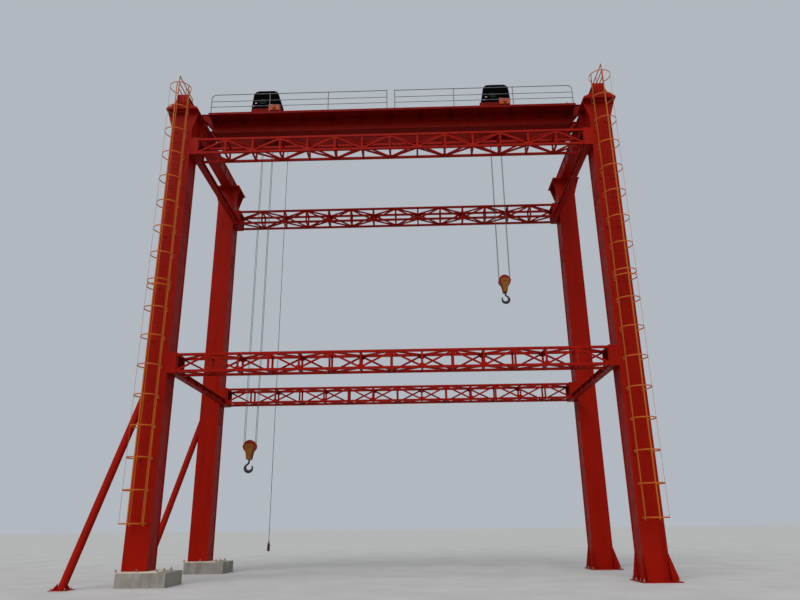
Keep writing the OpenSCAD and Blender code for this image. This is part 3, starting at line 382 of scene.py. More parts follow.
def paint(name, colour, deep, dust, dirt, rough, gloss=0.2):
    """Sprayed paint: uneven colour, dark runs down its sides, dust where it looks up."""
    n = Nodes(name)
    patches = n.range(n.noise(0.55, 5.0, 0.6), 0.35, 0.7, 0, 1)
    base = n.mix(patches, colour, tuple(0.86 * c + 0.14 * d for c, d in zip(colour, deep)))
    runs = n.noise(1.0, 7.0, 0.62, n.stretched(4.2, 4.2, 0.22))
    spots = n.noise(7.5, 6.0, 0.7)
    mask = n.math("MULTIPLY", n.range(runs, 0.5, 0.72, 0, dirt), n.range(spots, 0.3, 0.65, 0.35, 1))
    base = n.mix(mask, base, deep)
    chips = n.range(n.noise(34.0, 3.0, 0.6), 0.7, 0.76, 0, 0.3 * dirt)
    base = n.mix(chips, base, CHIPPED)
    drifts = n.range(n.noise(1.7, 6.0, 0.65), 0.3, 0.7, 0.15, 0.6)
    settled = n.math("MULTIPLY", n.facing_up(0.55, 0.95), drifts)
    base = n.mix(settled, base, dust)
    shine = n.range(n.noise(2.6, 6.0, 0.6), 0.3, 0.7, *rough)
    n.bump(n.noise(14.0, 3.0, 0.5), 0.10, 0.004)
    return n.finish(base, shine, 0.0, gloss)


def metal(name, colour, rust, rough, metallic, wear):
    """Bare steel with rust in patches and fine drawn lines."""
    n = Nodes(name)
    patches = n.range(n.noise(3.1, 7.0, 0.65), 0.42, 0.66, 0, wear)
    base = n.mix(patches, colour, rust)
    fine = n.noise(60.0, 4.0, 0.6, n.stretched(1, 0.2, 1))
    base = n.mix(n.range(fine, 0.4, 0.6, 0, 0.25), base, tuple(0.5 * c for c in colour))
    n.bump(fine, 0.15, 0.002)
    return n.finish(base, n.range(n.noise(9.0, 5.0, 0.6), 0.3, 0.7, *rough), metallic)


def concrete(name):
    """Cast concrete with stains that run down it, and pits."""
    n = Nodes(name)
    large = n.range(n.noise(1.3, 6.0, 0.6), 0.3, 0.7, 0, 1)
    base = n.mix(large, (0.17, 0.155, 0.13), (0.27, 0.25, 0.215))
    stains = n.range(n.noise(1.0, 6.0, 0.6, n.stretched(3.0, 3.0, 0.6)), 0.52, 0.7, 0, 0.55)
    base = n.mix(stains, base, (0.095, 0.082, 0.068))
    pits = n.noise(46.0, 5.0, 0.7)
    base = n.mix(n.range(pits, 0.58, 0.7, 0, 0.5), base, (0.08, 0.072, 0.062))
    n.bump(n.math("ADD", pits, n.noise(5.0, 6.0, 0.6)), 0.5, 0.012)
    return n.finish(base, 0.9)


def rope_wire(name):
    """Dark greased wire: the slanting lines of its strands, running down."""
    n = Nodes(name)
    parts = n.tree.nodes.new("ShaderNodeSeparateXYZ")
    n.link(n.coords, parts.inputs[0])
    along = n.math("MULTIPLY", parts.outputs["Z"], 90.0)
    across = n.math("MULTIPLY", n.math("ADD", parts.outputs["X"], parts.outputs["Y"]), 260.0)
    slant = n.math("ADD", along, across)
    strands = n.math("SINE", slant, 0.0)
    base = n.mix(n.range(strands, -1, 1, 0, 1), (0.018, 0.018, 0.018), (0.085, 0.083, 0.08))
    n.bump(strands, 0.6, 0.003)
    return n.finish(base, 0.45, 0.55)


def screen_cloth(name):
    """Fine green screen behind the oval openings of the covers."""
    n = Nodes(name)
    lines = n.noise(40.0, 2.0, 0.5, n.stretched(1, 1, 6))
    patches = n.range(n.noise(4.0, 3.0, 0.5), 0.35, 0.65, 0, 1)
    base = n.mix(patches, (0.045, 0.105, 0.08), (0.1, 0.19, 0.145))
    n.bump(lines, 0.3, 0.004)
    return n.finish(base, 0.35)


# Each paint: its colour, the colour of its runs, its dust, how dirty it is, and its roughness range.
CHIPPED = (0.07, 0.025, 0.015)
FRAME_RED = ((0.25, 0.0052, 0.0010), (0.075, 0.0015, 0.0006), (0.21, 0.02, 0.006), 0.5, (0.38, 0.6))
# The bridge's red is the frame's red made darker: painted shade for the bridge's web and undersides, which sit
# in the walkways' shade.
BRIDGE_RED_DARKENED_AS_SHADE = ((0.155, 0.0032, 0.0010), (0.045, 0.001, 0.0006), (0.13, 0.022, 0.01), 0.55, (0.4, 0.62))
LADDER_YELLOW = ((0.38, 0.088, 0.009), (0.18, 0.028, 0.004), (0.34, 0.12, 0.03), 0.45, (0.42, 0.62))
HANDRAIL_GREY = ((0.13, 0.135, 0.14), (0.06, 0.055, 0.05), (0.26, 0.25, 0.24), 0.4, (0.38, 0.58))
BASE_CREAM = ((0.52, 0.46, 0.36), (0.24, 0.16, 0.10), (0.5, 0.45, 0.38), 0.6, (0.5, 0.75))
COVER_BLACK = ((0.0020, 0.0018, 0.0017), (0.004, 0.0034, 0.003), (0.006, 0.005, 0.0045), 0.4, (0.45, 0.65))
DRIVE_ORANGE = ((0.42, 0.072, 0.02), (0.17, 0.022, 0.007), (0.34, 0.14, 0.07), 0.4, (0.4, 0.6))
CHEEK_OCHRE = ((0.2, 0.075, 0.012), (0.05, 0.015, 0.005), (0.2, 0.09, 0.035), 0.6, (0.42, 0.62))
GUARD_RED = ((0.21, 0.012, 0.005), (0.05, 0.004, 0.003), (0.2, 0.06, 0.035), 0.6, (0.4, 0.6))
HOOK_BLACK = ((0.008, 0.008, 0.009), (0.03, 0.015, 0.01), (0.05, 0.045, 0.04), 0.5, (0.34, 0.55))
PENDANT_BLACK = ((0.010, 0.010, 0.010), (0.02, 0.02, 0.02), (0.06, 0.06, 0.06), 0.3, (0.45, 0.6))
RAIL_STEEL = ((0.30, 0.27, 0.25), (0.17, 0.065, 0.03), (0.35, 0.6), 0.75, 0.7)
DRUM_STEEL = ((0.11, 0.105, 0.10), (0.09, 0.045, 0.025), (0.35, 0.6), 0.8, 0.45)

MATERIALS = {
    "frame_red": paint("frame_red", *FRAME_RED, gloss=0.04),
    # bridge_red holds painted shade: it is the frame's red darkened.
    "bridge_red": paint("bridge_red", *BRIDGE_RED_DARKENED_AS_SHADE, gloss=0.03),
    "ladder_yellow": paint("ladder_yellow", *LADDER_YELLOW, gloss=0.1),
    "handrail_grey": paint("handrail_grey", *HANDRAIL_GREY),
    "rail_steel": metal("rail_steel", *RAIL_STEEL),
    "base_plate_steel": paint("base_plate_steel", *BASE_CREAM),
    "plinth_concrete": concrete("plinth_concrete"),
    "drum_steel": metal("drum_steel", *DRUM_STEEL),
    "cover_black": paint("cover_black", *COVER_BLACK, gloss=0.0),
    "drive_orange": paint("drive_orange", *DRIVE_ORANGE, gloss=0.12),
    "rope_steel": rope_wire("rope_steel"),
    "cheek_ochre": paint("cheek_ochre", *CHEEK_OCHRE, gloss=0.06),
    "guard_red": paint("guard_red", *GUARD_RED, gloss=0.1),
    "hook_black": paint("hook_black", *HOOK_BLACK, gloss=0.3),
    "pendant_black": paint("pendant_black", *PENDANT_BLACK),
}
SCREEN = screen_cloth("screen_green")

for row in frame["record"]["subparts"]:
    cad = frame["nodes"][row["node"]]
    cad.data.materials.clear()
    cad.data.materials.append(MATERIALS[row["material_slot"]])


def side_name(side):
    return "left" if side < 0 else "right"


def row_name(row):
    return "front" if row < 0 else "rear"


def make_frame_bolts():
    """Bolts of the leg splices, caps and end plates."""
    splices = Shape()
    caps = Shape()
    for side, row in ((side, row) for side in SIDES for row in SIDES):
        face = side * LEG_X - side * (WEB_HALF + 0.018)
        for z in SPLICE_Z:
            for a in range(6):
                for b in range(6):
                    y = row * LEG_Y - 0.375 + a * 0.15
                    splices.bolt(place(face, y, z + 0.09 + b * 0.144), (-side, 0, 0), 0.034)
        for x in SIDES:
            for y in (-0.45, -0.15, 0.15, 0.45):
                point = place(side * LEG_X + x * 0.69, row * LEG_Y + y, LEG_TOP)
                caps.bolt(point, (0, 0, -1), 0.042, 0.02)
        for y in SIDES:
            for x in (-0.4, -0.13, 0.13, 0.4):
                point = place(side * LEG_X + x, row * LEG_Y + y * 0.70, LEG_TOP)
                caps.bolt(point, (0, 0, -1), 0.042, 0.02)
        for x in (-0.22, -0.08, 0.08, 0.22):
            for k in range(4):
                point = place(side * LEG_X + x, row * (LEG_Y + HEAD_OUT), CAP_TOP + 0.12 + k * 0.155)
                caps.bolt(point, (0, row, 0), 0.04)
    splices.piece("splice_bolts", "frame", "frame_red")
    caps.piece("head_bolts", "frame", "frame_red")


def prop_foot(row):
    """The middle of the plate under one inclined prop."""
    return place(PROP_FOOT_X, row * LEG_Y - LEG_HALF + PROP_INSET - PROP_REACH, PROP_FOOT_TOP)


def make_anchors():
    """Anchor bolts at the base plates, the right feet and the prop feet."""
    anchors = Shape()
    base_x = -LEG_X + BASE_SHIFT
    for row in SIDES:
        leg_y = row * LEG_Y
        for x in SIDES:
            for y in (-BASE_BOLTS, 0.0, BASE_BOLTS):
                anchors.bolt(place(base_x + x * 0.84, leg_y + y, PLINTH_TOP), Z_AXIS, 0.07, 0.06)
        for y in SIDES:
            anchors.bolt(place(base_x, leg_y + y * BASE_BOLTS, PLINTH_TOP), Z_AXIS, 0.07, 0.06)
        for x in (-0.63, 0.74):
            for y in (-0.74, -0.3, 0.3, 0.74):
                anchors.bolt(place(LEG_X + x, leg_y + y, FOOT_TOP), Z_AXIS, 0.07, 0.06)
        foot = prop_foot(row)
        for x in SIDES:
            for y in SIDES:
                anchors.bolt(foot + Vector((x * 0.27, y * 0.27, 0)), Z_AXIS, 0.05, 0.05)
    anchors.piece("anchor_bolts", "frame", "rail_steel")


def make_truss_gussets(level, row):
    """Node plates on the outer faces of both lattices of one truss."""
    shape = Shape()
    low = TRUSS_Z[level] + CHORD
    high = TRUSS_Z[level] + TRUSS_HEIGHT - CHORD
    for face, start in ((-1, 0), (1, 1)):
        y = row * LEG_Y + face * (TRUSS_FACE + 0.004)
        for k in range(1, BAYS):
            x = -LATTICE_HALF + k * BAY
            top = (k + start) % 2 == 1
            z = high + 0.01 if top else low - 0.01
            reach = -0.13 if top else 0.13
            outline = [(-0.17, 0), (0.17, 0), (0.09, reach), (-0.09, reach)]
            shape.plate(outline, place(x, y, z), X_AXIS, Z_AXIS, 0.008)
    shape.piece(f"{level}_{row_name(row)}_gussets", "frame", "frame_red")


def make_tie_details():
    """End plates, bolts and ribs of the side ties."""
    shape = Shape()
    plate = 0.02
    for base in TRUSS_Z.values():
        z = base + TIE_RISE
        for side in SIDES:
            x = side * TIE_X
            for row in SIDES:
                shape.box(place(x, row * (TIE_Y - plate / 2), z), (0.34, plate, 0.29))
                for a in SIDES:
                    for b in SIDES:
                        point = place(x + a * 0.08, row * (TIE_Y - plate), z + b * 0.075)
                        shape.bolt(point, (0, -row, 0), 0.03)
            for k in range(-2, 3):
                for a in SIDES:
                    shape.box(place(x + a * 0.078, k * 1.2, z), (0.128, 0.012, 0.246))
    shape.piece("tie_details", "frame", "frame_red")


def make_prop_details():
    """Gussets round each prop foot."""
    shape = Shape()
    outline = [(0.13, 0), (0.34, 0), (0.34, 0.03), (0.15, 0.24)]
    for row in SIDES:
        for out in spokes(4, 45, X_AXIS, Y_AXIS):
            shape.plate(outline, prop_foot(row), out, Z_AXIS, 0.016)
    shape.piece("prop_gussets", "frame", "frame_red")


def make_rail_clips():
    """Clips and bolts that hold the runway rails and the trolley rails."""
    shape = Shape()
    for side in SIDES:
        for k in range(-5, 6):
            for x in SIDES:
                point = place(side * LEG_X + x * 0.085, k * 0.64, RUNWAY_TOP)
                shape.box(point + Vector((0, 0, 0.009)), (0.075, 0.07, 0.018))
                shape.bolt(point + Vector((0.012 * x, 0, 0.018)), Z_AXIS, 0.028, 0.01)
    shape.piece("runway_clips", "frame", "rail_steel")
    shape = Shape()
    for row in SIDES:
        for k in range(-15, 16):
            for y in SIDES:
                point = place(k * 0.63, BRIDGE_Y + row * GAUGE_HALF + y * 0.07, GIRDER_TOP)
                shape.box(point + Vector((0, 0, 0.008)), (0.06, 0.06, 0.016))
                shape.bolt(point + Vector((0, 0.01 * y, 0.016)), Z_AXIS, 0.024, 0.008)
    shape.piece("bridge_clips", "bridge", "rail_steel")


def make_ladder_details(side):
    """Round rungs over the plain ones, with bolts at the hoops and brackets."""
    name = side_name(side)
    leg_face = -LEG_Y - LEG_HALF
    stile_y = leg_face - LADDER_OUT
    centre = side * LADDER_X
    reach = LADDER_HALF + 0.017
    rungs = Shape()
    for k in range(int((RUNWAY_TOP - LADDER_FOOT) / RUNG_PITCH)):
        z = LADDER_FOOT + (k + 0.5) * RUNG_PITCH
        rungs.tube([place(centre - reach, stile_y, z), place(centre + reach, stile_y, z)], 0.0147, 12)
    rungs.piece(f"{name}_rungs", "frame", "frame_red", smooth=40)
    bolts = Shape()
    bar = 0.025
    for rise in [k * HOOP_PITCH for k in range(HOOPS)] + [8 * HOOP_PITCH - 0.25]:
        for x in SIDES:
            point = place(centre + x * (LADDER_HALF + 0.015), stile_y, HOOP_Z + rise + bar)
            bolts.bolt(point, (x, 0, 0), 0.016)
    for x in SIDES:
        for k in range(0, HOOPS, 2):
            lowered = 0.9 if k == HOOPS - 1 else 1
            pad = place(centre + x * LADDER_HALF, leg_face - 0.005, HOOP_Z + k * HOOP_PITCH * lowered + bar)
            bolts.box(pad, (0.11, 0.01, 0.12))
            for up in SIDES:
                bolts.bolt(pad + Vector((x * 0.032, -0.005, up * 0.038)), (0, -1, 0), 0.02)
    bolts.piece(f"{name}_ladder_bolts", "frame", "frame_red")


def make_handrail(row):
    """Smooth tubes with base flanges, in place of the plain ones."""
    name = row_name(row)
    y = BRIDGE_Y + row * (WALKWAY_EDGE - EDGE_PLATE - 0.042)
    tube = 0.021
    top = DECK_Z + HANDRAIL_TOP
    shape = Shape()
    for side in SIDES:
        inner = side * HANDRAIL_GAP
        outer = side * (HANDRAIL_GAP + 3 * HANDRAIL_BAY)
        posts = [side * (HANDRAIL_GAP + k * HANDRAIL_BAY) for k in range(4)]
        for x in posts[:3]:
            shape.tube([place(x, y, DECK_Z), place(x, y, top)], tube, 14)
        corner = place(outer - side * HANDRAIL_BEND, y, top - HANDRAIL_BEND)
        end = [place(outer, y, DECK_Z), place(outer, y, top - HANDRAIL_BEND)]
        end += arc(corner, X_AXIS * side, Z_AXIS, HANDRAIL_BEND, 8, 90, 10)
        end.append(place(inner, y, top))
        shape.tube(end, tube, 14)
        for height in HANDRAIL_MIDDLE:
            shape.tube([place(inner, y, DECK_Z + height), place(outer, y, DECK_Z + height)], 0.8 * tube, 12)
        for x in posts:
            flange = [(0.0, 0.05), (0.010, 0.05), (0.014, 0.028), (0.05, 0.026)]
            shape.turned(flange, place(x, y, DECK_Z), Z_AXIS, 20)
            heights = HANDRAIL_MIDDLE if x == outer else (*HANDRAIL_MIDDLE, HANDRAIL_TOP)
            for height in heights:
                collar = [(-0.03, 0.021), (-0.02, 0.027), (0.02, 0.027), (0.03, 0.021)]
                shape.turned(collar, place(x, y, DECK_Z + height), Z_AXIS, 16)
    rail = shape.piece(f"{name}_handrail_tubes", "bridge", "handrail_grey", smooth=50)
    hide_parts(f"{name}_handrail")


def make_walkway_details(row):
    """Grating bars on the deck, ribs along the girder's web and lugs under the walkway's edge."""
    name = row_name(row)
    inner = GAUGE_HALF + FLANGE_HALF
    grating_half = WALKWAY_HALF - 0.05
    count = 164
    step = 2 * grating_half / count
    shape = Shape()
    for k in range(count + 1):
        point = place(-grating_half + k * step, BRIDGE_Y + row * (inner + 0.31), DECK_Z + 0.004)
        shape.box(point, (0.008, 0.60, 0.010))
    for k in range(5):
        y = BRIDGE_Y + row * (inner + 0.04 + k * 0.135)
        shape.box(place(0, y, DECK_Z + 0.003), (2 * WALKWAY_HALF - 0.08, 0.008, 0.008))
    shape.piece(f"{name}_grating", "bridge", "bridge_red")
    trim = Shape()
    web = BRIDGE_Y + row * (inner - 0.04)
    for z, reach in ((GIRDER_TOP - 0.80, 9.9), (GIRDER_TOP - 1.16, 9.7)):
        trim.box(place(0, web + row * 0.012, z), (2 * reach, 0.024, 0.02))
    lugs = 13
    lug_half = WALKWAY_HALF - 0.15
    edge = BRIDGE_Y + row * (WALKWAY_EDGE - EDGE_PLATE - 0.012)
    for k in range(lugs):
        x = -lug_half + k * 2 * lug_half / (lugs - 1)
        trim.box(place(x, edge, DECK_Z - 0.055), (0.05, 0.024, 0.03))
    trim.piece(f"{name}_girder_trim", "bridge", "bridge_red")


def make_carriage_details(side):
    """Travel drive on the inner side of the rear wheel, and covers on the other axle ends."""
    name = side_name(side)
    z = RAIL_TOP + 0.0003 + WHEEL_RADIUS
    inwards = Vector((-side, 0, 0))
    rear = place(side * (LEG_X - WHEEL_X), BRIDGE_Y + WHEEL_Y, z)
    gearbox = [(0, 0.115), (0.03, 0.125), (0.13, 0.125), (0.15, 0.1)]
    motor = [(0.14, 0.085), (0.16, 0.092), (0.40, 0.092), (0.41, 0.086), (0.46, 0.086), (0.475, 0.06)]
    shape = Shape()
    shape.turned(gearbox, rear, inwards, 32)
    shape.turned(motor, rear, inwards, 32)
    for k, out in enumerate(spokes(16, 0, Y_AXIS, Z_AXIS)):
        tilt = Matrix.Rotation(math.radians(k * 22.5 - 90), 3, "X")
        shape.box(rear + inwards * 0.28 + out * 0.096, (0.22, 0.005, 0.016), tilt)
    shape.piece(f"{name}_travel_drive", "bridge", "drive_orange", smooth=40)
    caps = Shape()
    profile = [(0, 0.09), (0.014, 0.09), (0.02, 0.07), (0.03, 0.04), (0.03, 0.001)]
    for y in SIDES:
        for x in SIDES:
            if x == -side and y > 0:
                continue
            centre = place(side * LEG_X + x * WHEEL_X, BRIDGE_Y + y * WHEEL_Y, z)
            out = Vector((x, 0, 0))
            caps.turned(profile, centre, out, 28)
            for around in spokes(6, 30, Y_AXIS, Z_AXIS):
                caps.bolt(centre + around * 0.074 + out * 0.013, out, 0.016)
    caps.piece(f"{name}_axle_covers", "bridge", "bridge_red", smooth=40)


def make_cover_details(name, x):
    """Seams, screws, latches and the screen behind the oval opening."""
    body = f"{name}_trolley"
    middle = x + (COVER_SHIFT if x > 0 else -COVER_SHIFT)
    front = BRIDGE_Y - COVER_DEPTH / 2
    rear = BRIDGE_Y + COVER_DEPTH / 2
    grille_x = middle - GRILLE_SHIFT
    grille_z = BEAM_TOP + GRILLE_SHARE * COVER_HEIGHT
    oval = []
    for side in SIDES[::-1]:
        for k in range(17):
            a = math.radians(-90 * side + 180 * k / 16)
            oval.append((side * 0.08 + math.cos(a) * 0.165, math.sin(a) * 0.165))
    screen = Shape()
    screen.plate(oval, place(grille_x, front + 0.035, grille_z), X_AXIS, Z_AXIS, 0.006)
    screen.piece(f"{name}_screen", body, "cover_black", material=SCREEN)
    trim = Shape()
    trim.tube([place(grille_x + a, front - 0.003, grille_z + b) for a, b in oval], 0.010, 10, loop=True)
    for z, half in ((0.30, 0.74), (0.97, 0.66)):
        for y in (front - 0.003, rear + 0.003):
            trim.box(place(middle, y, BEAM_TOP + z), (2 * half, 0.006, 0.018))
    for side in SIDES:
        for k in range(4):
            z = 0.30 + k * 0.2
            across = COVER_WIDTH / 2 - 0.09 - COVER_TAPER * (z - 0.23) / 0.75
            for y, out in ((front, -1), (rear, 1)):
                point = place(middle + side * across, y, BEAM_TOP + z)
                trim.turned([(0, 0.012), (0.005, 0.012), (0.009, 0.006)], point, (0, out, 0), 10)
    trim.piece(f"{name}_cover_trim", body, "cover_black", smooth=40)
    latches = Shape()
    for across, z in ((0.56, 0.50), (0.69, 0.31)):
        point = place(middle - across, front - 0.006, BEAM_TOP + z)
        knob = point + Vector((0, -0.006, 0))
        latches.box(point, (0.10, 0.012, 0.06))
        latches.turned([(0, 0.016), (0.012, 0.016), (0.016, 0.011)], knob, (0, -1, 0), 14)
    latches.piece(f"{name}_cover_latches", body, "rail_steel", smooth=40)


def make_drive_details(name, x):
    """Motor cap, fins and terminal box round the drive box."""
    body = f"{name}_trolley"
    half = DRIVE_BOX / 2
    front = BRIDGE_Y - BEAM_Y - half
    middle = x + TROLLEY_HALF - DRIVE_INSET - half
    centre = place(middle, front - 0.06, BEAM_TOP - 0.15)
    shape = Shape()
    shape.turned([(0, 0.075), (0.012, 0.075), (0.02, 0.045), (0.02, 0.001)], centre, (0, -1, 0), 28)
    for out in spokes(8, 0, X_AXIS, Z_AXIS):
        shape.bolt(centre + out * 0.088, (0, -1, 0), 0.014)
    for k in range(6):
        shape.box(place(middle, front + half / 2, BEAM_TOP - 0.28 + k * 0.05), (0.61, 0.29, 0.008))
    shape.box(place(middle - 0.2, front + half / 2, BEAM_TOP + 0.05), (0.2, 0.15, 0.06))
    shape.piece(f"{name}_drive_details", body, "drive_orange", smooth=40)
    lid = Shape()
    lid.box(place(middle - 0.2, front + half / 2, BEAM_TOP + 0.085), (0.22, 0.17, 0.012))
    lid.box(place(middle - 0.2, front + 0.073, BEAM_TOP + 0.05), (0.16, 0.006, 0.04))
    lid.piece(f"{name}_terminal_lid", body, "base_plate_steel", bevel=0.003)


def make_drum_rope(name, x):
    """Turns of rope on the drum, with the ends of the other falls clamped to it."""
    shape = Shape()
    centre = place(x, BRIDGE_Y, DRUM_Z)
    turns = 16
    steps = 26
    lead = 0.0245
    for row in SIDES:
        path = []
        for k in range(turns * steps + 1):
            a = 2 * math.pi * k / steps
            y = row * (ROPE_ROW + lead * k / steps)
            path.append(centre + Vector((row * ROPE_X * math.cos(a), y, ROPE_X * math.sin(a))))
        shape.tube(path, ROPE_RADIUS, 8)
        middle = centre + Vector((0, row * ROPE_ROW, 0))
        shape.tube(arc(middle, X_AXIS * -row, Z_AXIS, ROPE_X, 0, 62, 10), ROPE_RADIUS, 8)
        shape.tube(arc(middle, X_AXIS * -row, Z_AXIS, ROPE_X, 62, 74, 2), 0.02, 8)
    shape.piece(f"{name}_drum_rope", f"{name}_trolley", "rope_steel", smooth=50)


def make_falls(name, x, block_z):
    """The four falls of rope, stretched between trolley and block."""
    shape = Shape()
    top = DRUM_Z
    steps = 24
    for a in SIDES:
        for b in SIDES:
            path = [
                place(x + a * ROPE_X, BRIDGE_Y + b * ROPE_ROW, top + (block_z - top) * k / steps)
                for k in range(steps + 1)
            ]
            shape.tube(path, ROPE_RADIUS, 12)
    falls = shape.piece(f"{name}_falls", None, "rope_steel", smooth=50)
    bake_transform(falls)
    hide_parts(f"{name}_ropes")


def make_block_details(name, x, block_z):
    """Rope round the sheaves, pin caps and bolts of the cheeks."""
    body = f"{name}_block"
    rope = Shape()
    for row in SIDES:
        centre = place(x, BRIDGE_Y + row * ROPE_ROW, block_z)
        rope.tube(arc(centre, X_AXIS, Z_AXIS, ROPE_X, 180, 360, 28), ROPE_RADIUS, 8)
    rope.piece(f"{name}_sheave_rope", body, "rope_steel", smooth=50)
    shape = Shape()
    for row in SIDES:
        out = Vector((0, row, 0))
        face = place(x, BRIDGE_Y + row * CHEEK_Y, block_z)
        shape.turned([(0, 0.085), (0.02, 0.085), (0.026, 0.075), (0.026, 0.001)], face, out, 28)
        for around in spokes(4, 45, X_AXIS, Z_AXIS):
            shape.bolt(face + around * 0.06 + out * 0.024, out, 0.022)
        for a in SIDES:
            for z in (-0.26, -0.46, -0.61):
                cheek_half = 0.215 + 0.11 * z / 0.645
                shape.bolt(face + Vector((a * (cheek_half - 0.035), 0, z)), out, 0.024)
    shape.piece(f"{name}_block_bolts", body, "cheek_ochre")


def smooth_curve(points, sizes, steps):
    """A curve that runs smoothly through points, with the sizes carried along it."""
    line = []
    widths = []
    for k in range(len(points) - 1):
        p0 = points[max(k - 1, 0)]
        p1 = points[k]
        p2 = points[k + 1]
        p3 = points[min(k + 2, len(points) - 1)]
        for t in (s / steps for s in range(steps)):
            even = (2 * p1) + (p2 - p0) * t + (2 * p0 - 5 * p1 + 4 * p2 - p3) * t * t
            line.append(0.5 * (even + (3 * p1 - p0 - 3 * p2 + p3) * t ** 3))
            widths.append(sizes[k] + (sizes[k + 1] - sizes[k]) * t)
    return line + [points[-1]], widths + [sizes[-1]]


def make_hook(name, x, block_z, facing):
    """A forged hook: a fuller section on the inside, smooth along its length."""
    bowl = place(x, BRIDGE_Y, block_z - CROSSHEAD_DROP - CROSSHEAD_HALF - BOWL_DROP)
    radius = 0.175
    thick = 0.078
    shank = 0.042
    tip = 0.024
    fullest = 0.45
    flatness = 0.14

    def bowl_point(t):
        a = math.radians(58 - 270 * t)
        return Vector((radius * math.cos(a), 0, radius * math.sin(a)))

    def bowl_size(t):
        if t < fullest:
            return shank + (thick - shank) * math.sin(math.pi / 2 * t / fullest)
        return tip + (thick - tip) * math.cos(math.pi / 2 * (t - fullest) / (1 - fullest))

    def section(centre, heading, size, flat, pinch):
        """A ring round the hook's line: round, or flattened and pinched towards its inside."""
        inward = Vector((heading.z, 0, -heading.x))
        points = []
        for a in (2 * math.pi * s / 24 for s in range(24)):
            side = size * math.sin(a) * (1 - flat) * (1 - pinch * max(0.0, math.cos(a)))
            points.append(bowl + facing @ (centre + inward * (size * math.cos(a))) + Y_AXIS * side)
        return points

    neck_top = BOWL_DROP - 0.12
    nut_foot = BOWL_DROP + 2 * CROSSHEAD_HALF
    first = bowl_point(0)
    points = [
        Vector((0, 0, nut_foot + 0.08)),
        Vector((0, 0, neck_top)),
        Vector((0.12 * radius, 0, 0.62 * neck_top + 0.38 * first.z)),
        Vector((0.34 * radius, 0, 0.28 * neck_top + 0.72 * first.z)),
    ]
    points += [bowl_point(k / 22) for k in range(23)]
    sizes = [shank] * 4 + [bowl_size(k / 22) for k in range(23)]
    line, widths = smooth_curve(points, sizes, 3)
    rings = []
    for k, point in enumerate(line):
        heading = (line[min(k + 1, len(line) - 1)] - line[max(k - 1, 0)]).normalized()
        share = min(1.0, max(0.0, (k - 8) / 8))
        rings.append(section(point, heading, widths[k], flatness * share, 0.16 * share))
    heading = (line[-1] - line[-2]).normalized()
    for share, size in ((0.35, 0.9), (0.7, 0.62), (0.95, 0.25)):
        rings.append(section(line[-1] + heading * tip * share, heading, tip * size, flatness, 0.0))
    shape = Shape()
    shape.loft(rings)
    nut = bowl + Vector((0, 0, nut_foot + 0.0003))
    shape.turned([(0, 0.0745), (0.058, 0.0745), (0.069, 0.066), (0.0697, 0.05)], nut, Z_AXIS, 6)
    hook = shape.piece(f"{name}_forged_hook", f"{name}_hook", "hook_black", smooth=45)
    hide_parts(f"{name}_hook")


def make_pendant():
    """The control box on its hanging cable, with push buttons and a stop button."""
    x = HOISTS["left"][0] + PENDANT_X
    top = PENDANT_Z + PENDANT_HEIGHT
    upper = BEAM_TOP - 0.14
    lower = PENDANT_Z + 0.10
    steps = 30
    path = [place(x, BRIDGE_Y, upper + (lower - upper) * k / steps) for k in range(steps + 1)]
    cable = Shape()
    cable.tube(path, CABLE_RADIUS, 12)
    cable_piece = cable.piece("pendant_cable", "left_trolley", "pendant_black", smooth=50)
    box = Shape()
    box.box(place(x, BRIDGE_Y, PENDANT_Z + PENDANT_HEIGHT / 2), (0.11, 0.08, PENDANT_HEIGHT - 0.02))
    housing = box.piece("pendant_box", "left_trolley", "pendant_black", bevel=0.012)
    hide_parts("pendant")
    front = BRIDGE_Y - 0.04
    gland = [(-0.02, 0.034), (0.0, 0.034), (0.03, 0.028), (0.10, 0.017), (0.15, 0.0135)]
    button = [(0, 0.017), (0.006, 0.017), (0.007, 0.013), (0.014, 0.012), (0.016, 0.008)]
    mushroom = [(0, 0.020), (0.010, 0.020), (0.014, 0.026), (0.024, 0.024), (0.027, 0.012)]
    trim = Shape()
    trim.turned(gland, place(x, BRIDGE_Y, top), Z_AXIS, 20)
    for k in range(5):
        for a in SIDES:
            point = place(x + a * 0.026, front, PENDANT_Z + 0.05 + k * 0.055)
            trim.turned(button, point, (0, -1, 0), 16)
    trim_piece = trim.piece("pendant_trim", "left_trolley", "pendant_black", smooth=40)
    stop = Shape()
    stop.turned(mushroom, place(x, front, top - 0.05), (0, -1, 0), 20)
    stop_piece = stop.piece("pendant_stop", "left_trolley", "guard_red", smooth=40)
    return cable_piece, path, [housing, trim_piece, stop_piece]


make_frame_bolts()
make_anchors()
for truss_level in TRUSS_Z:
    for truss_row in SIDES:
        make_truss_gussets(truss_level, truss_row)
make_tie_details()
make_prop_details()
make_rail_clips()
for ladder_side in SIDES:
    make_ladder_details(ladder_side)
    make_carriage_details(ladder_side)
for rail_row in SIDES:
    make_handrail(rail_row)
    make_walkway_details(rail_row)
for hoist_name, (hoist_x, hoist_z) in HOISTS.items():
    make_cover_details(hoist_name, hoist_x)
    make_drive_details(hoist_name, hoist_x)
    make_drum_rope(hoist_name, hoist_x)
    make_falls(hoist_name, hoist_x, hoist_z)
    make_block_details(hoist_name, hoist_x, hoist_z)
make_hook("left", *HOISTS["left"], Matrix.Rotation(math.pi, 3, "Z"))
make_hook("right", *HOISTS["right"], Matrix.Identity(3))
cable_obj, cable_path, cable_pieces = make_pendant()


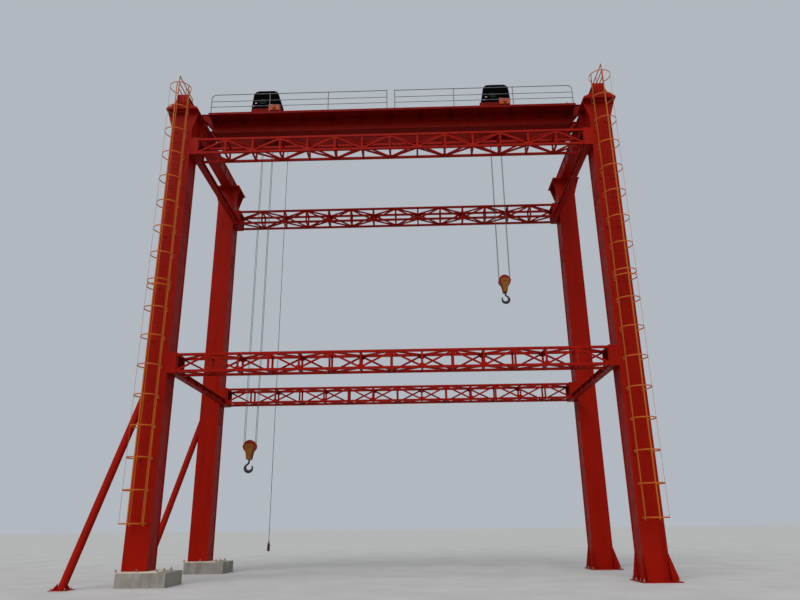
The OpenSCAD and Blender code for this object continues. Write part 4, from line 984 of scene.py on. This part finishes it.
def make_camera():
    """The photograph's point of view: low, before the middle of the span, looking up."""
    focal = 664.22
    picture_width = 800
    position = place(1.1728, -33.55, 2.25)
    yaw = -0.025744
    pitch = 0.327778
    roll = -0.0118517
    ahead = Vector((math.sin(yaw) * math.cos(pitch), math.cos(yaw) * math.cos(pitch), math.sin(pitch)))
    right = Vector((math.cos(yaw), -math.sin(yaw), 0))
    up = right.cross(ahead)
    turned_right = right * math.cos(roll) + up * math.sin(roll)
    turned_up = -right * math.sin(roll) + up * math.cos(roll)
    camera = bpy.data.cameras.new("camera")
    camera.sensor_width = 36
    camera.lens = focal / picture_width * camera.sensor_width
    camera.clip_end = 500
    obj = bpy.data.objects.new("camera", camera)
    bpy.context.scene.collection.objects.link(obj)
    turn = Matrix((turned_right, turned_up, -ahead)).transposed()
    obj.matrix_world = Matrix.Translation(position) @ turn.to_4x4()
    bpy.context.scene.camera = obj


def make_stage():
    """A plain pale floor."""
    mesh = bpy.data.meshes.new("floor")
    half = 400
    corners = [(-half, -half, 0), (half, -half, 0), (half, half, 0), (-half, half, 0)]
    mesh.from_pydata(corners, [], [(0, 1, 2, 3)])
    floor = bpy.data.objects.new("floor", mesh)
    bpy.context.scene.collection.objects.link(floor)
    n = Nodes("floor")
    base = n.mix(n.range(n.noise(0.4, 6.0, 0.6), 0.35, 0.65, 0, 1), (0.36, 0.35, 0.335), (0.41, 0.40, 0.385))
    floor.data.materials.append(n.finish(base, 0.9))


def make_light():
    """An overcast sky with two broad, soft suns."""
    world = bpy.data.worlds.new("sky")
    bpy.context.scene.world = world
    world.use_nodes = True
    background = world.node_tree.nodes["Background"]
    background.inputs["Color"].default_value = (0.47, 0.505, 0.55, 1)
    background.inputs["Strength"].default_value = 0.95
    for name, rotation, strength, angle in (
        ("key", (math.radians(42), 0, math.radians(-18)), 2.5, 45),
        ("fill", (math.radians(60), 0, math.radians(40)), 0.5, 70),
    ):
        sun = bpy.data.lights.new(name, "SUN")
        sun.energy = strength
        sun.angle = math.radians(angle)
        obj = bpy.data.objects.new(name, sun)
        obj.rotation_euler = rotation
        bpy.context.scene.collection.objects.link(obj)
    bpy.context.scene.view_settings.view_transform = "Standard"


make_camera()
make_stage()
make_light()
